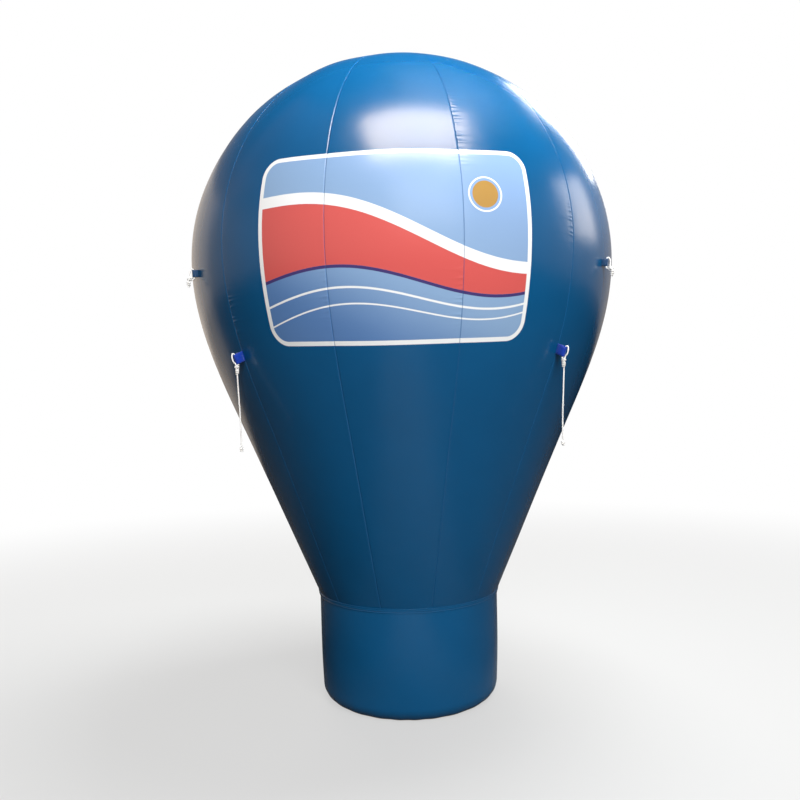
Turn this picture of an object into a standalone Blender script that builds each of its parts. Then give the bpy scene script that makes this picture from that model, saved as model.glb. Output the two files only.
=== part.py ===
"""Bulb-shaped advertising balloon kept up by a fan in the back of its base.

Twelve sewn gores make the bulb, two wall panels and a floor disc make the base.
Origin: centre of the base on the floor. +Z up, the printed front faces -Y.
An azimuth is counted from the front (-Y) towards +X.
"""
import math

import bmesh
import bpy
from mathutils import Matrix, Vector

# Driving dimensions in metres, angles in degrees
HEIGHT = 3.0
GIRTH_RADIUS = 0.987
GIRTH_Z = 2.05
NECK_RADIUS = 0.428
NECK_Z = 0.499
CONE_TOP_Z = 1.203
CONE_FLARE = 0.4253
CROWN_RADIUS = 0.09
CROWN_FACETS = 24
SHELL = 0.010
GAP = 0.0003

# Handles of the two curves that join the cone to the girth and the girth to the top
LOWER_HANDLES = (0.291, 0.316)
UPPER_HANDLES = (0.450, 0.606)
LOWER_STEPS = 6
UPPER_STEPS = 8

GORE_COUNT = 12
GORE_SEAM_AZIMUTH = 13.14
GORE_FACETS = 4

BASE_RADIUS = 0.418
BASE_EDGE_RADIUS = 0.065
BASE_EDGE_STEPS = 4
BASE_FACETS = 36
SEAM_TAPE_WIDTH = 0.024
SEAM_TAPE_THICK = 0.0018

ROPE_RADIUS = 0.003
ROPE_SIDES = 6
ROPE_SEAT_GAP = 0.0006
KNOT_TURN = 0.0042
KNOT_FACETS = 8
KNOT_OVERLAP = 0.003
HITCH_KNOT = (0.0085, 0.026)
END_KNOT = (0.0080, 0.022)

# How far the hitch bows out beyond the strap, at its top, below the top and below the middle
HITCH_BOW = (0.0030, 0.0085, 0.0095)

# Sewn webbing lugs: the strap is folded so that its loop opens along the meridian
LUG_POINTS = 16
STRAP_THICK = 0.0025
STRAP_ROOT_HALF = 0.004
SEAM_LUG = {
    "reach": 0.042, "half_depth": 0.0145, "half_width": 0.0100, "height": 0.040,
    "knot_out": 0.004, "knot_down": 0.020,
}
GIRTH_LUG = {
    "reach": 0.030, "half_depth": 0.0120, "half_width": 0.0090, "height": 0.030,
    "knot_out": 0.018, "knot_down": 0.018,
}
SEAM_LUG_Z = 1.606
GIRTH_LUG_Z = 1.970
SEAM_LUG_AZIMUTHS = [GORE_SEAM_AZIMUTH + 30 + 90 * k for k in range(4)]
GIRTH_LUG_AZIMUTHS = [GORE_SEAM_AZIMUTH + 45 + 120 * k for k in range(3)]

# The four hanging tails of the mooring ropes
TAIL_DROP = 0.290
TAIL_SWAY = -0.016
TAIL_POINTS = 18

# The fan looks out of the back of the base, its axis along Y
FAN_Z = 0.235
FAN_FACETS = 32
DUCT_INNER_RADIUS = 0.131
DUCT_OUTER_RADIUS = 0.136
DUCT_INNER_Y = 0.285
FLANGE_Y = 0.434
FLANGE_RADIUS = 0.152
FLANGE_THICK = 0.006
INLET_CUT_Y = (0.20, 0.50)
COLLAR_START_Y = 0.36
GUARD_THICK = 0.004
GUARD_RIBS = 6
GUARD_RIB_HALF_ANGLE = 0.9
GUARD_STEPS = 4
# Edges of the guard's rings, from its centre disc out, every second gap being a ring
GUARD_RADII = (0.020, 0.044, 0.048, 0.072, 0.076, 0.100, 0.104, 0.126, 0.146)
GUARD_RINGS = (1, 3, 5, 7)
MOTOR_RADIUS = 0.055
MOTOR_Y = (0.300, 0.350)
MOTOR_CHAMFER = 0.004
ARM_THICK = 0.006
ARM_WIDTH = 0.014
ARM_COUNT = 4
ARM_SEAT = 0.006
HUB_RADIUS = 0.050
HUB_Y = (0.356, 0.402)
HUB_EDGE = (0.012, 0.010)
HUB_DOME = 0.002
BLADE_COUNT = 5
BLADE_TIP_RADIUS = 0.124
BLADE_CHORD = 0.062
BLADE_THICK = 0.003
BLADE_ROOT_DEPTH = 0.003
BLADE_PITCHES = (44.0, 34.0, 26.0)
SHAFT_RADIUS = 0.006
SHAFT_END_Y = 0.325
BORE_RADIUS = 0.0066
BORE_END_Y = 0.322

# Zip and cable gland on the rear wall
ZIP_AZIMUTH = 135.0
ZIP_Z = (0.110, 0.440)
ZIP_WIDTH = 0.032
ZIP_THICK = 0.0025
# Side outline of the slider and its hanging pull: out from the tape, height below the tape's end
SLIDER_OUTLINE = (
    (0.000, -0.004), (0.008, -0.004), (0.008, -0.010), (0.010, -0.014), (0.010, -0.054),
    (0.007, -0.054), (0.007, -0.024), (0.000, -0.024),
)
SLIDER_WIDTH = 0.014
GLAND_AZIMUTH = 215.0
GLAND_Z = 0.105
GLAND_FLANGE_RADIUS = 0.017
GLAND_FACETS = 12
# The gland's outline above its flange: radius, height over the wall
GLAND_OUTLINE = (
    (0.0170, 0.004), (0.0125, 0.004), (0.0125, 0.014), (0.0090, 0.020), (0.0045, 0.020),
    (0.0030, 0.015), (0.0000, 0.015),
)

FABRIC_BLUE = (0.012, 0.075, 0.165)
STRAP_BLUE = (0.010, 0.040, 0.330)
ROPE_WHITE = (0.800, 0.800, 0.780)
FAN_BLACK = (0.015, 0.015, 0.017)
MOTOR_GREY = (0.300, 0.310, 0.320)


def clear_scene():
    for thing in list(bpy.data.objects):
        bpy.data.objects.remove(thing, do_unlink=True)


def make_material(name, colour, roughness, metallic=0.0):
    material = bpy.data.materials.new(name)
    material.use_nodes = True
    shader = material.node_tree.nodes["Principled BSDF"]
    shader.inputs["Base Color"].default_value = (*colour, 1.0)
    shader.inputs["Roughness"].default_value = roughness
    shader.inputs["Metallic"].default_value = metallic
    return material


def add_object(name, mesh, material, smooth_angle=30.0):
    """Link a mesh as a named object, shaded smooth except across sharp edges."""
    mesh.shade_smooth()
    mesh.set_sharp_from_angle(angle=math.radians(smooth_angle))
    item = bpy.data.objects.new(name, mesh)
    item.data.materials.append(material)
    bpy.context.collection.objects.link(item)
    return item


def mesh_from(name, verts, faces):
    """Build a mesh whose faces are then turned to point outwards."""
    mesh = bpy.data.meshes.new(name)
    mesh.from_pydata([tuple(v) for v in verts], [], faces)
    work = bmesh.new()
    work.from_mesh(mesh)
    bmesh.ops.recalc_face_normals(work, faces=work.faces)
    work.to_mesh(mesh)
    work.free()
    return mesh


def make_cutter(item):
    item.hide_render = True
    item.display_type = "WIRE"
    return item


def add_boolean(item, operand, operation):
    cut = item.modifiers.new(operation.lower(), "BOOLEAN")
    cut.operation = operation
    cut.object = operand
    cut.solver = "EXACT"


def bezier(p0, p1, p2, p3, steps):
    """Points along a cubic curve, both ends included."""
    points = []
    for k in range(steps + 1):
        t = k / steps
        s = 1 - t
        weights = (s ** 3, 3 * s * s * t, 3 * s * t * t, t ** 3)
        r = sum(w * p[0] for w, p in zip(weights, (p0, p1, p2, p3)))
        z = sum(w * p[1] for w, p in zip(weights, (p0, p1, p2, p3)))
        points.append((r, z))
    return points


def bulb_meridian():
    """Outer outline (radius, height) of the bulb from the neck up to the top."""
    cone_top = (NECK_RADIUS + (CONE_TOP_Z - NECK_Z) * CONE_FLARE, CONE_TOP_Z)
    slope = Vector((CONE_FLARE, 1.0)).normalized()
    lower_out = (
        cone_top[0] + slope.x * LOWER_HANDLES[0],
        cone_top[1] + slope.y * LOWER_HANDLES[0],
    )
    girth = (GIRTH_RADIUS, GIRTH_Z)
    lower = bezier(
        cone_top, lower_out, (GIRTH_RADIUS, GIRTH_Z - LOWER_HANDLES[1]), girth, LOWER_STEPS
    )
    upper = bezier(
        girth,
        (GIRTH_RADIUS, GIRTH_Z + UPPER_HANDLES[0]),
        (UPPER_HANDLES[1], HEIGHT),
        (0.0, HEIGHT),
        UPPER_STEPS,
    )
    return [(NECK_RADIUS, NECK_Z)] + lower + upper[1:]


def split_at_radius(line, radius):
    """Cut the outline on the crown at a radius: the part below it and the part above."""
    for k in range(len(line) - 1, 0, -1):
        (r0, z0), (r1, z1) = line[k - 1], line[k]
        if r0 >= radius > r1:
            t = (r0 - radius) / (r0 - r1)
            point = (radius, z0 + (z1 - z0) * t)
            return line[:k] + [point], [point] + line[k:]
    raise ValueError("the outline never reaches that radius")


def base_profile(inset=0.0):
    """Outline of the base wall from the floor to just under the neck, moved in by an inset."""
    centre_r = BASE_RADIUS - BASE_EDGE_RADIUS
    round_r = BASE_EDGE_RADIUS - inset
    line = []
    for k in range(BASE_EDGE_STEPS + 1):
        a = math.radians(90) * k / BASE_EDGE_STEPS
        line.append((centre_r + round_r * math.sin(a), BASE_EDGE_RADIUS - round_r * math.cos(a)))
    line.append((NECK_RADIUS - inset, NECK_Z - GAP))
    return line


def wall_radius(z):
    t = (z - BASE_EDGE_RADIUS) / (NECK_Z - BASE_EDGE_RADIUS)
    return BASE_RADIUS + (NECK_RADIUS - BASE_RADIUS) * t


def facet_radius(z):
    """Distance from the axis to the middle of a flat of the faceted base wall."""
    return wall_radius(z) * math.cos(math.pi / BASE_FACETS)


def offset_line(line, distance):
    """The same outline moved towards the axis side by a distance."""
    moved = []
    for k, (r, z) in enumerate(line):
        before = Vector(line[max(k - 1, 0)])
        after = Vector(line[min(k + 1, len(line) - 1)])
        run = (after - before).normalized()
        moved.append((r - run.y * distance, z + run.x * distance))
    return moved


def at(azimuth, radius, z):
    a = math.radians(azimuth)
    return Vector((radius * math.sin(a), -radius * math.cos(a), z))


def shell_panel(name, outer, inner, azimuths, material):
    """A curved panel between two outlines, over a range of azimuths."""
    verts = []
    for azimuth in azimuths:
        edge = GAP / 2 if azimuth in (azimuths[0], azimuths[-1]) else 0.0
        sign = 1 if azimuth == azimuths[0] else -1
        for r, z in outer + inner[::-1]:
            shift = math.degrees(edge / max(r, 0.01)) * sign
            verts.append(at(azimuth + shift, r, z))
    ring = len(outer) + len(inner)
    faces = []
    for j in range(len(azimuths) - 1):
        for k in range(ring):
            a = j * ring + k
            b = j * ring + (k + 1) % ring
            faces.append((a, b, b + ring, a + ring))
    last = (len(azimuths) - 1) * ring
    for k in range(len(outer) - 1):
        a, b, c, d = k, k + 1, ring - 2 - k, ring - 1 - k
        faces.append((a, b, c, d))
        faces.append((last + a, last + b, last + c, last + d))
    return add_object(name, mesh_from(name, verts, faces), material)


def turned(name, outline, material, facets, axis=None):
    """A closed outline turned about Z, or about another axis given as a matrix.

    The outline runs round the section. Points at radius 0 share one vertex.
    """
    verts = []
    rings = []
    for r, z in outline:
        if r < 1e-6:
            verts.append(Vector((0, 0, z)))
            rings.append([len(verts) - 1] * facets)
        else:
            rings.append(list(range(len(verts), len(verts) + facets)))
            for k in range(facets):
                a = 2 * math.pi * k / facets
                verts.append(Vector((r * math.cos(a), r * math.sin(a), z)))
    faces = []
    for i in range(len(rings)):
        low, high = rings[i], rings[(i + 1) % len(rings)]
        for k in range(facets):
            corners = [low[k], low[(k + 1) % facets], high[(k + 1) % facets], high[k]]
            corners = list(dict.fromkeys(corners))
            if len(corners) > 2:
                faces.append(corners)
    if axis is not None:
        verts = [axis @ v for v in verts]
    return add_object(name, mesh_from(name, verts, faces), material)


def fan_axis():
    """Matrix whose Z axis runs out of the back of the base, through the fan's centre."""
    return Matrix.Translation((0, 0, FAN_Z)) @ Matrix.Rotation(math.radians(-90), 4, "X")


def surface_frame(azimuth, z):
    """Matrix at a point of the bulb: X out of the surface, Y round it, Z up the meridian."""
    line = bulb_meridian()
    for (r0, z0), (r1, z1) in zip(line, line[1:]):
        if z0 <= z <= z1:
            break
    t = (z - z0) / (z1 - z0)
    radius = r0 + (r1 - r0) * t
    run = Vector((r1 - r0, z1 - z0)).normalized()
    a = math.radians(azimuth)
    radial = Vector((math.sin(a), -math.cos(a), 0))
    around = Vector((math.cos(a), math.sin(a), 0))
    up = radial * run.x + Vector((0, 0, run.y))
    out = around.cross(up)
    frame = Matrix((out, around, up)).transposed().to_4x4()
    frame.translation = at(azimuth, radius, z)
    return frame


def tube_mesh(name, points, radius, sides):
    """A closed loop of rope through the points, with round section."""
    count = len(points)
    verts = []
    for k in range(count):
        run = (points[(k + 1) % count] - points[k - 1]).normalized()
        side = Vector((0, 1, 0))
        lift = run.cross(side).normalized()
        for s in range(sides):
            a = 2 * math.pi * s / sides
            verts.append(points[k] + side * radius * math.cos(a) + lift * radius * math.sin(a))
    faces = []
    for k in range(count):
        for s in range(sides):
            n = (s + 1) % sides
            j = (k + 1) % count
            faces.append((k * sides + s, k * sides + n, j * sides + n, j * sides + s))
    return mesh_from(name, verts, faces)


def smooth_loop(points, per_span):
    """Closed curve through the points, each span cut into equal steps."""
    count = len(points)
    result = []
    for k in range(count):
        p0, p1 = points[k - 1], points[k]
        p2, p3 = points[(k + 1) % count], points[(k + 2) % count]
        for step in range(per_span):
            t = step / per_span
            result.append(
                0.5 * ((2 * p1) + (p2 - p0) * t + (2 * p0 - 5 * p1 + 4 * p2 - p3) * t * t
                       + (3 * p1 - p0 - 3 * p2 + p3) * t ** 3)
            )
    return result


def build_gores(fabric):
    below, _ = split_at_radius(bulb_meridian(), CROWN_RADIUS)
    inner = offset_line(below, SHELL)
    inner[-1] = (CROWN_RADIUS, below[-1][1] - SHELL)
    step = 360 / GORE_COUNT
    for k in range(GORE_COUNT):
        start = GORE_SEAM_AZIMUTH + step * (k - 1)
        azimuths = [start + step * j / GORE_FACETS for j in range(GORE_FACETS + 1)]
        shell_panel(f"gore_{k + 1:02d}", below, inner, azimuths, fabric)


def build_crown(fabric):
    _, above = split_at_radius(bulb_meridian(), CROWN_RADIUS - GAP)
    inner = [(r, z - SHELL) for r, z in reversed(above)]
    turned("crown_patch", above + inner, fabric, CROWN_FACETS)


def build_base(fabric, tape):
    outer = base_profile()
    inner = base_profile(SHELL)
    half = 180 / (BASE_FACETS / 2)
    for name, start in (("base_wall_front", -90), ("base_wall_rear", 90)):
        azimuths = [start + half * j for j in range(BASE_FACETS // 2 + 1)]
        shell_panel(name, outer, inner, azimuths, fabric)
    disc_radius = BASE_RADIUS - BASE_EDGE_RADIUS - GAP
    disc = [(0, 0), (disc_radius, 0), (disc_radius, SHELL), (0, SHELL)]
    turned("base_floor_disc", disc, fabric, BASE_FACETS)
    half_tape = SEAM_TAPE_WIDTH / 2
    near, far = GAP, GAP + SEAM_TAPE_THICK
    below_z, above_z = NECK_Z - half_tape, NECK_Z + half_tape
    above_r = NECK_RADIUS + half_tape * CONE_FLARE
    facet_slack = 1 / math.cos(math.pi / GORE_COUNT / GORE_FACETS)
    section = [
        (wall_radius(below_z) * facet_slack + near, below_z),
        (wall_radius(below_z) * facet_slack + far, below_z),
        (NECK_RADIUS * facet_slack + far, NECK_Z - SEAM_TAPE_THICK),
        (above_r * facet_slack + far, above_z - SEAM_TAPE_THICK),
        (above_r * facet_slack + near, above_z),
        (NECK_RADIUS * facet_slack + near, NECK_Z),
    ]
    turned("neck_seam_tape", section, tape, GORE_COUNT * GORE_FACETS)


def lug_mesh(name, size, frame):
    """A folded strap: an outer and an inner loop of points, extruded up the meridian."""
    centre = size["reach"] - size["half_depth"]
    root = {7: 1, 8: 0, 9: -1}
    outer, inner = [], []
    for k in range(LUG_POINTS):
        a = 2 * math.pi * k / LUG_POINTS
        c, s = math.cos(a), math.sin(a)
        if k in root:
            outer.append((GAP, root[k] * STRAP_ROOT_HALF))
        else:
            outer.append((centre + size["half_depth"] * c, size["half_width"] * s))
        inner.append((
            centre + (size["half_depth"] - STRAP_THICK) * c,
            (size["half_width"] - STRAP_THICK) * s,
        ))
    verts = []
    for height in (-size["height"] / 2, size["height"] / 2):
        for x, y in outer + inner:
            verts.append(frame @ Vector((x, y, height)))
    n = LUG_POINTS
    faces = []
    for k in range(n):
        j = (k + 1) % n
        faces.append((k, j, n + j, n + k))
        faces.append((2 * n + k, 2 * n + j, 3 * n + j, 3 * n + k))
        faces.append((k, j, 2 * n + j, 2 * n + k))
        faces.append((n + k, n + j, 3 * n + j, 3 * n + k))
    return mesh_from(name, verts, faces)


def knot_place(size):
    """Middle of the hitch's knot in the lug's own frame: out from the fabric, up the meridian."""
    return size["reach"] + size["knot_out"], -size["height"] / 2 - size["knot_down"]


def hitch_route(size):
    """Rope loop in the lug's own plane, round the strap's outer end, legs meeting in the knot."""
    clear = ROPE_RADIUS + ROPE_SEAT_GAP
    knot_x, knot_z = knot_place(size)
    reach = size["reach"]
    inner_x = reach - STRAP_THICK - clear
    top = size["height"] / 2
    leg_out = max((knot_x - reach) / 2, 0.004)
    spots = [
        (knot_x, knot_z - KNOT_TURN),
        (knot_x - KNOT_TURN, knot_z),
        (inner_x, -top - 2 * ROPE_RADIUS),
        (inner_x, -top + ROPE_RADIUS),
        (inner_x, 0.0),
        (inner_x, top),
        (reach - STRAP_THICK, top + clear),
        (reach + HITCH_BOW[0], top + clear),
        (reach + HITCH_BOW[1], 0.6 * top),
        (reach + HITCH_BOW[2], -0.2 * top),
        (reach + leg_out, -top),
        (knot_x + KNOT_TURN, knot_z),
    ]
    return [Vector((x, 0, z)) for x, z in spots]


def knot_section(radius, length):
    """Two rope lumps, one above the other, as an outline to be turned."""
    lumps = ((0.00, 0.0), (0.04, 0.62), (0.22, 1.0), (0.42, 0.80), (0.52, 0.66),
             (0.66, 0.90), (0.84, 0.82), (0.97, 0.45), (1.00, 0.0))
    return [(radius * width, -length * down) for down, width in lumps]


def build_lug_set(name, number, size, azimuth, z, strap, rope):
    """One lug with the rope hitched through it; gives the point under its knot."""
    frame = surface_frame(azimuth, z)
    label = f"{name}_{number}"
    add_object(label + "_lug", lug_mesh(label, size, frame), strap)
    knot_x, knot_z = knot_place(size)
    route = smooth_loop(hitch_route(size), 2)
    loop_mesh = tube_mesh(label + "_loop", route, ROPE_RADIUS, ROPE_SIDES)
    loop_mesh.transform(frame)
    hitch = add_object(label + "_hitch", loop_mesh, rope, 60)
    knot_top = frame @ Vector((knot_x, 0, knot_z + KNOT_OVERLAP))
    placed = Matrix.Translation(knot_top)
    knot = turned(label + "_knot_shape", knot_section(*HITCH_KNOT), rope, KNOT_FACETS, placed)
    add_boolean(hitch, make_cutter(knot), "UNION")
    return knot_top - Vector((0, 0, HITCH_KNOT[1]))


def tail_route(start, azimuth):
    """A free rope that drops from a knot and drifts a little towards the base."""
    a = math.radians(azimuth)
    radial = Vector((math.sin(a), -math.cos(a), 0))
    points = []
    for k in range(TAIL_POINTS + 1):
        t = k / TAIL_POINTS
        sway = TAIL_SWAY * (0.75 * t + 0.25 * math.sin(math.pi * t) * t)
        points.append(start + radial * sway - Vector((0, 0, TAIL_DROP * t)))
    return points


def build_mooring(strap, rope):
    for k, azimuth in enumerate(SEAM_LUG_AZIMUTHS):
        under = build_lug_set("mooring", k + 1, SEAM_LUG, azimuth, SEAM_LUG_Z, strap, rope)
        route = tail_route(under - Vector((0, 0, GAP)), azimuth)
        line = bpy.data.curves.new(f"mooring_{k + 1}_tail", "CURVE")
        line.dimensions = "3D"
        line.bevel_depth = ROPE_RADIUS
        line.bevel_resolution = 2
        line.use_fill_caps = True
        line.resolution_u = 1
        spline = line.splines.new("POLY")
        spline.points.add(len(route) - 1)
        for point, place in zip(spline.points, route):
            point.co = (*place, 1.0)
        tail = bpy.data.objects.new(f"mooring_{k + 1}_tail", line)
        line.materials.append(rope)
        bpy.context.collection.objects.link(tail)
        end = Matrix.Translation(route[-1] - Vector((0, 0, GAP)))
        turned(f"mooring_{k + 1}_end_knot", knot_section(*END_KNOT), rope, KNOT_FACETS, end)
    for k, azimuth in enumerate(GIRTH_LUG_AZIMUTHS):
        build_lug_set("guy", k + 1, GIRTH_LUG, azimuth, GIRTH_LUG_Z, strap, rope)


def polar_plate(name, radii, bands, axis, thick, low, material):
    """A flat moulded guard: rings in the given bands, joined by ribs from hub to rim."""
    rib_half = math.radians(GUARD_RIB_HALF_ANGLE)
    angles = []
    for k in range(GUARD_RIBS):
        centre = 2 * math.pi * k / GUARD_RIBS
        span = 2 * math.pi / GUARD_RIBS
        angles.append((centre - rib_half, True))
        for part in range(GUARD_STEPS):
            t = part / GUARD_STEPS
            angles.append((centre + rib_half + (span - 2 * rib_half) * t, False))
    count = len(angles)
    solid = [[i in bands or angles[j][1] for j in range(count)] for i in range(len(radii) - 1)]
    verts = []
    for height in (low, low + thick):
        for r in radii:
            for a, _ in angles:
                verts.append(axis @ Vector((r * math.cos(a), r * math.sin(a), height)))
        verts.append(axis @ Vector((0, 0, height)))
    level = len(radii) * count + 1

    def vert(side, i, j):
        return side * level + i * count + j % count

    faces = []
    for j in range(count):
        for side in (0, 1):
            faces.append((side * level + level - 1, vert(side, 0, j), vert(side, 0, j + 1)))
    for i in range(-1, len(radii)):
        for j in range(count):
            here = i < 0 or (i < len(radii) - 1 and solid[i][j])
            nxt = i + 1 < len(radii) - 1 and solid[i + 1][j]
            if i < len(radii) - 1 and here != nxt:
                faces.append((vert(0, i + 1, j), vert(0, i + 1, j + 1),
                              vert(1, i + 1, j + 1), vert(1, i + 1, j)))
            if i >= 0 and i < len(radii) - 1 and solid[i][j]:
                for side in (0, 1):
                    faces.append((vert(side, i, j), vert(side, i, j + 1),
                                  vert(side, i + 1, j + 1), vert(side, i + 1, j)))
                if not solid[i][(j + 1) % count]:
                    faces.append((vert(0, i, j + 1), vert(0, i + 1, j + 1),
                                  vert(1, i + 1, j + 1), vert(1, i, j + 1)))
                if not solid[i][j - 1]:
                    faces.append((vert(0, i, j), vert(0, i + 1, j), vert(1, i + 1, j), vert(1, i, j)))
    used = sorted({v for face in faces for v in face})
    place = {v: k for k, v in enumerate(used)}
    faces = [tuple(place[v] for v in face) for face in faces]
    return add_object(name, mesh_from(name, [verts[v] for v in used], faces), material)


def blade_mesh(name):
    """Separate twisted blades round the hub, each rooted a little way inside it."""
    verts, faces = [], []
    middle = (HUB_Y[0] + HUB_Y[1]) / 2
    half_way = (HUB_RADIUS + BLADE_TIP_RADIUS) / 2
    radii = (HUB_RADIUS - BLADE_ROOT_DEPTH, half_way, BLADE_TIP_RADIUS)
    for b in range(BLADE_COUNT):
        turn = Matrix.Rotation(2 * math.pi * b / BLADE_COUNT, 4, "Z")
        first = len(verts)
        for r, pitch in zip(radii, BLADE_PITCHES):
            a = math.radians(pitch)
            chord = Vector((0, math.cos(a), math.sin(a))) * BLADE_CHORD / 2
            face = Vector((0, -math.sin(a), math.cos(a))) * BLADE_THICK / 2
            reach = math.sqrt(max(r * r - chord.y * chord.y, 0.0))
            centre = Vector((reach, 0, middle))
            for s, t in ((-1, -1), (1, -1), (1, 1), (-1, 1)):
                verts.append(turn @ (centre + chord * s + face * t))
        for i in range(2):
            for c in range(4):
                d = (c + 1) % 4
                low, high = first + 4 * i, first + 4 * i + 4
                faces.append((low + c, low + d, high + d, high + c))
        faces.append((first, first + 1, first + 2, first + 3))
        faces.append((first + 8, first + 9, first + 10, first + 11))
    return mesh_from(name, verts, faces)


def build_fan(fabric, black, grey):
    axis = fan_axis()
    rear = bpy.data.objects["base_wall_rear"]
    hole_radius = DUCT_OUTER_RADIUS + GAP
    start, end = INLET_CUT_Y
    drum = [(0, start), (hole_radius, start), (hole_radius, end), (0, end)]
    hole = turned("inlet_hole_cutter", drum, fabric, FAN_FACETS, axis)
    add_boolean(rear, make_cutter(hole), "DIFFERENCE")

    duct = [
        (DUCT_INNER_RADIUS, DUCT_INNER_Y),
        (DUCT_OUTER_RADIUS, DUCT_INNER_Y),
        (DUCT_OUTER_RADIUS, FLANGE_Y),
        (FLANGE_RADIUS, FLANGE_Y),
        (FLANGE_RADIUS, FLANGE_Y + FLANGE_THICK),
        (DUCT_INNER_RADIUS, FLANGE_Y + FLANGE_THICK),
    ]
    turned("fan_duct", duct, black, FAN_FACETS, axis)

    collar_outer = hole_radius + SHELL
    sleeve = [
        (hole_radius, COLLAR_START_Y),
        (collar_outer, COLLAR_START_Y),
        (collar_outer, FLANGE_Y - GAP),
        (hole_radius, FLANGE_Y - GAP),
    ]
    collar = turned("inlet_collar", sleeve, fabric, FAN_FACETS, axis)
    spread = GAP / math.cos(math.radians(180 / BASE_FACETS))
    wall_line = [(r + spread, z) for r, z in base_profile()]
    body = [(0, wall_line[0][1])] + wall_line + [(0, wall_line[-1][1])]
    wall_cutter = turned("wall_cutter", body, fabric, BASE_FACETS)
    add_boolean(collar, make_cutter(wall_cutter), "DIFFERENCE")

    guard_low = FLANGE_Y + FLANGE_THICK + GAP
    polar_plate("fan_guard", GUARD_RADII, GUARD_RINGS, axis, GUARD_THICK, guard_low, black)

    motor_outline = [
        (0, MOTOR_Y[0]),
        (MOTOR_RADIUS - MOTOR_CHAMFER, MOTOR_Y[0]),
        (MOTOR_RADIUS, MOTOR_Y[0] + MOTOR_CHAMFER),
        (MOTOR_RADIUS, MOTOR_Y[1]),
        (BORE_RADIUS, MOTOR_Y[1]),
        (BORE_RADIUS, BORE_END_Y),
        (0, BORE_END_Y),
    ]
    motor = turned("fan_motor", motor_outline, grey, FAN_FACETS, axis)
    verts, faces = [], []
    duct_flat = DUCT_INNER_RADIUS * math.cos(math.pi / FAN_FACETS) - GAP
    reach = math.sqrt(duct_flat ** 2 - (ARM_WIDTH / 2) ** 2)
    arm_low = MOTOR_Y[0] + ARM_SEAT
    for k in range(ARM_COUNT):
        turn = axis @ Matrix.Rotation(math.radians(45 + 360 * k / ARM_COUNT), 4, "Z")
        first = len(verts)
        for x in (MOTOR_RADIUS - ARM_SEAT, reach):
            for y in (-ARM_WIDTH / 2, ARM_WIDTH / 2):
                for z in (arm_low, arm_low + ARM_THICK):
                    verts.append(turn @ Vector((x, y, z)))
        for quad in ((0, 1, 3, 2), (4, 5, 7, 6), (0, 1, 5, 4), (2, 3, 7, 6), (0, 2, 6, 4), (1, 3, 7, 5)):
            faces.append(tuple(first + q for q in quad))
    arms = add_object("motor_arm_shape", mesh_from("motor_arms", verts, faces), grey)
    add_boolean(motor, make_cutter(arms), "UNION")

    hub = [
        (0, SHAFT_END_Y),
        (SHAFT_RADIUS, SHAFT_END_Y),
        (SHAFT_RADIUS, HUB_Y[0]),
        (HUB_RADIUS, HUB_Y[0]),
        (HUB_RADIUS, HUB_Y[1] - HUB_EDGE[1]),
        (HUB_RADIUS - HUB_EDGE[0], HUB_Y[1]),
        (0, HUB_Y[1] + HUB_DOME),
    ]
    pivot = bpy.data.objects.new("fan_pivot", None)
    pivot.matrix_world = axis
    bpy.context.collection.objects.link(pivot)
    impeller = turned("fan_impeller", hub, black, FAN_FACETS)
    impeller.parent = pivot
    blades = add_object("blade_shape", blade_mesh("blades"), black)
    blades.parent = pivot
    add_boolean(impeller, make_cutter(blades), "UNION")


def prism(name, outline, width, frame, material):
    """A side outline (out from the wall, height) extruded to a width across the wall."""
    verts = []
    for y in (-width / 2, width / 2):
        for x, z in outline:
            verts.append(frame @ Vector((x, y, z)))
    n = len(outline)
    faces = [tuple(range(n)), tuple(range(n, 2 * n))]
    for k in range(n):
        j = (k + 1) % n
        faces.append((k, j, n + j, n + k))
    return add_object(name, mesh_from(name, verts, faces), material)


def build_zip(black, grey):
    """A vertical zip up the rear wall, with its slider parked at the top."""
    z0, z1 = ZIP_Z
    a = math.radians(ZIP_AZIMUTH)
    frame = Matrix((
        (math.sin(a), math.cos(a), 0),
        (-math.cos(a), math.sin(a), 0),
        (0, 0, 1),
    )).to_4x4()
    low, high = facet_radius(z0) + GAP, facet_radius(z1) + GAP
    tape = [(low, z0), (low + ZIP_THICK, z0), (high + ZIP_THICK, z1), (high, z1)]
    prism("zip_tape", tape, ZIP_WIDTH, frame, black)
    face = high + ZIP_THICK + GAP
    slider = [(face + x, z1 + z) for x, z in SLIDER_OUTLINE]
    prism("zip_slider", slider, SLIDER_WIDTH, frame, grey)


def build_gland(black):
    """The gland through which the fan's mains lead leaves the base."""
    a = math.radians(GLAND_AZIMUTH)
    out = Vector((math.sin(a), -math.cos(a), 0))
    turn = out.to_track_quat("Z", "Y").to_matrix().to_4x4()
    axis = Matrix.Translation((0, 0, GLAND_Z)) @ turn
    seat = facet_radius(GLAND_Z + GLAND_FLANGE_RADIUS) + GAP
    outline = [(0, seat), (GLAND_FLANGE_RADIUS, seat)]
    outline += [(r, seat + height) for r, height in GLAND_OUTLINE]
    turned("cable_gland", outline, black, GLAND_FACETS, axis)


def main():
    clear_scene()
    fabric = make_material("coated_polyester_blue", FABRIC_BLUE, 0.32)
    tape = make_material("seam_tape_blue", FABRIC_BLUE, 0.45)
    strap = make_material("webbing_royal_blue", STRAP_BLUE, 0.6)
    rope = make_material("braided_rope_white", ROPE_WHITE, 0.7)
    black = make_material("moulded_black_plastic", FAN_BLACK, 0.4)
    grey = make_material("cast_aluminium", MOTOR_GREY, 0.45, 0.9)
    build_gores(fabric)
    build_crown(fabric)
    build_base(fabric, tape)
    build_mooring(strap, rope)
    build_fan(fabric, black, grey)
    build_zip(black, grey)
    build_gland(black)


main()
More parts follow.
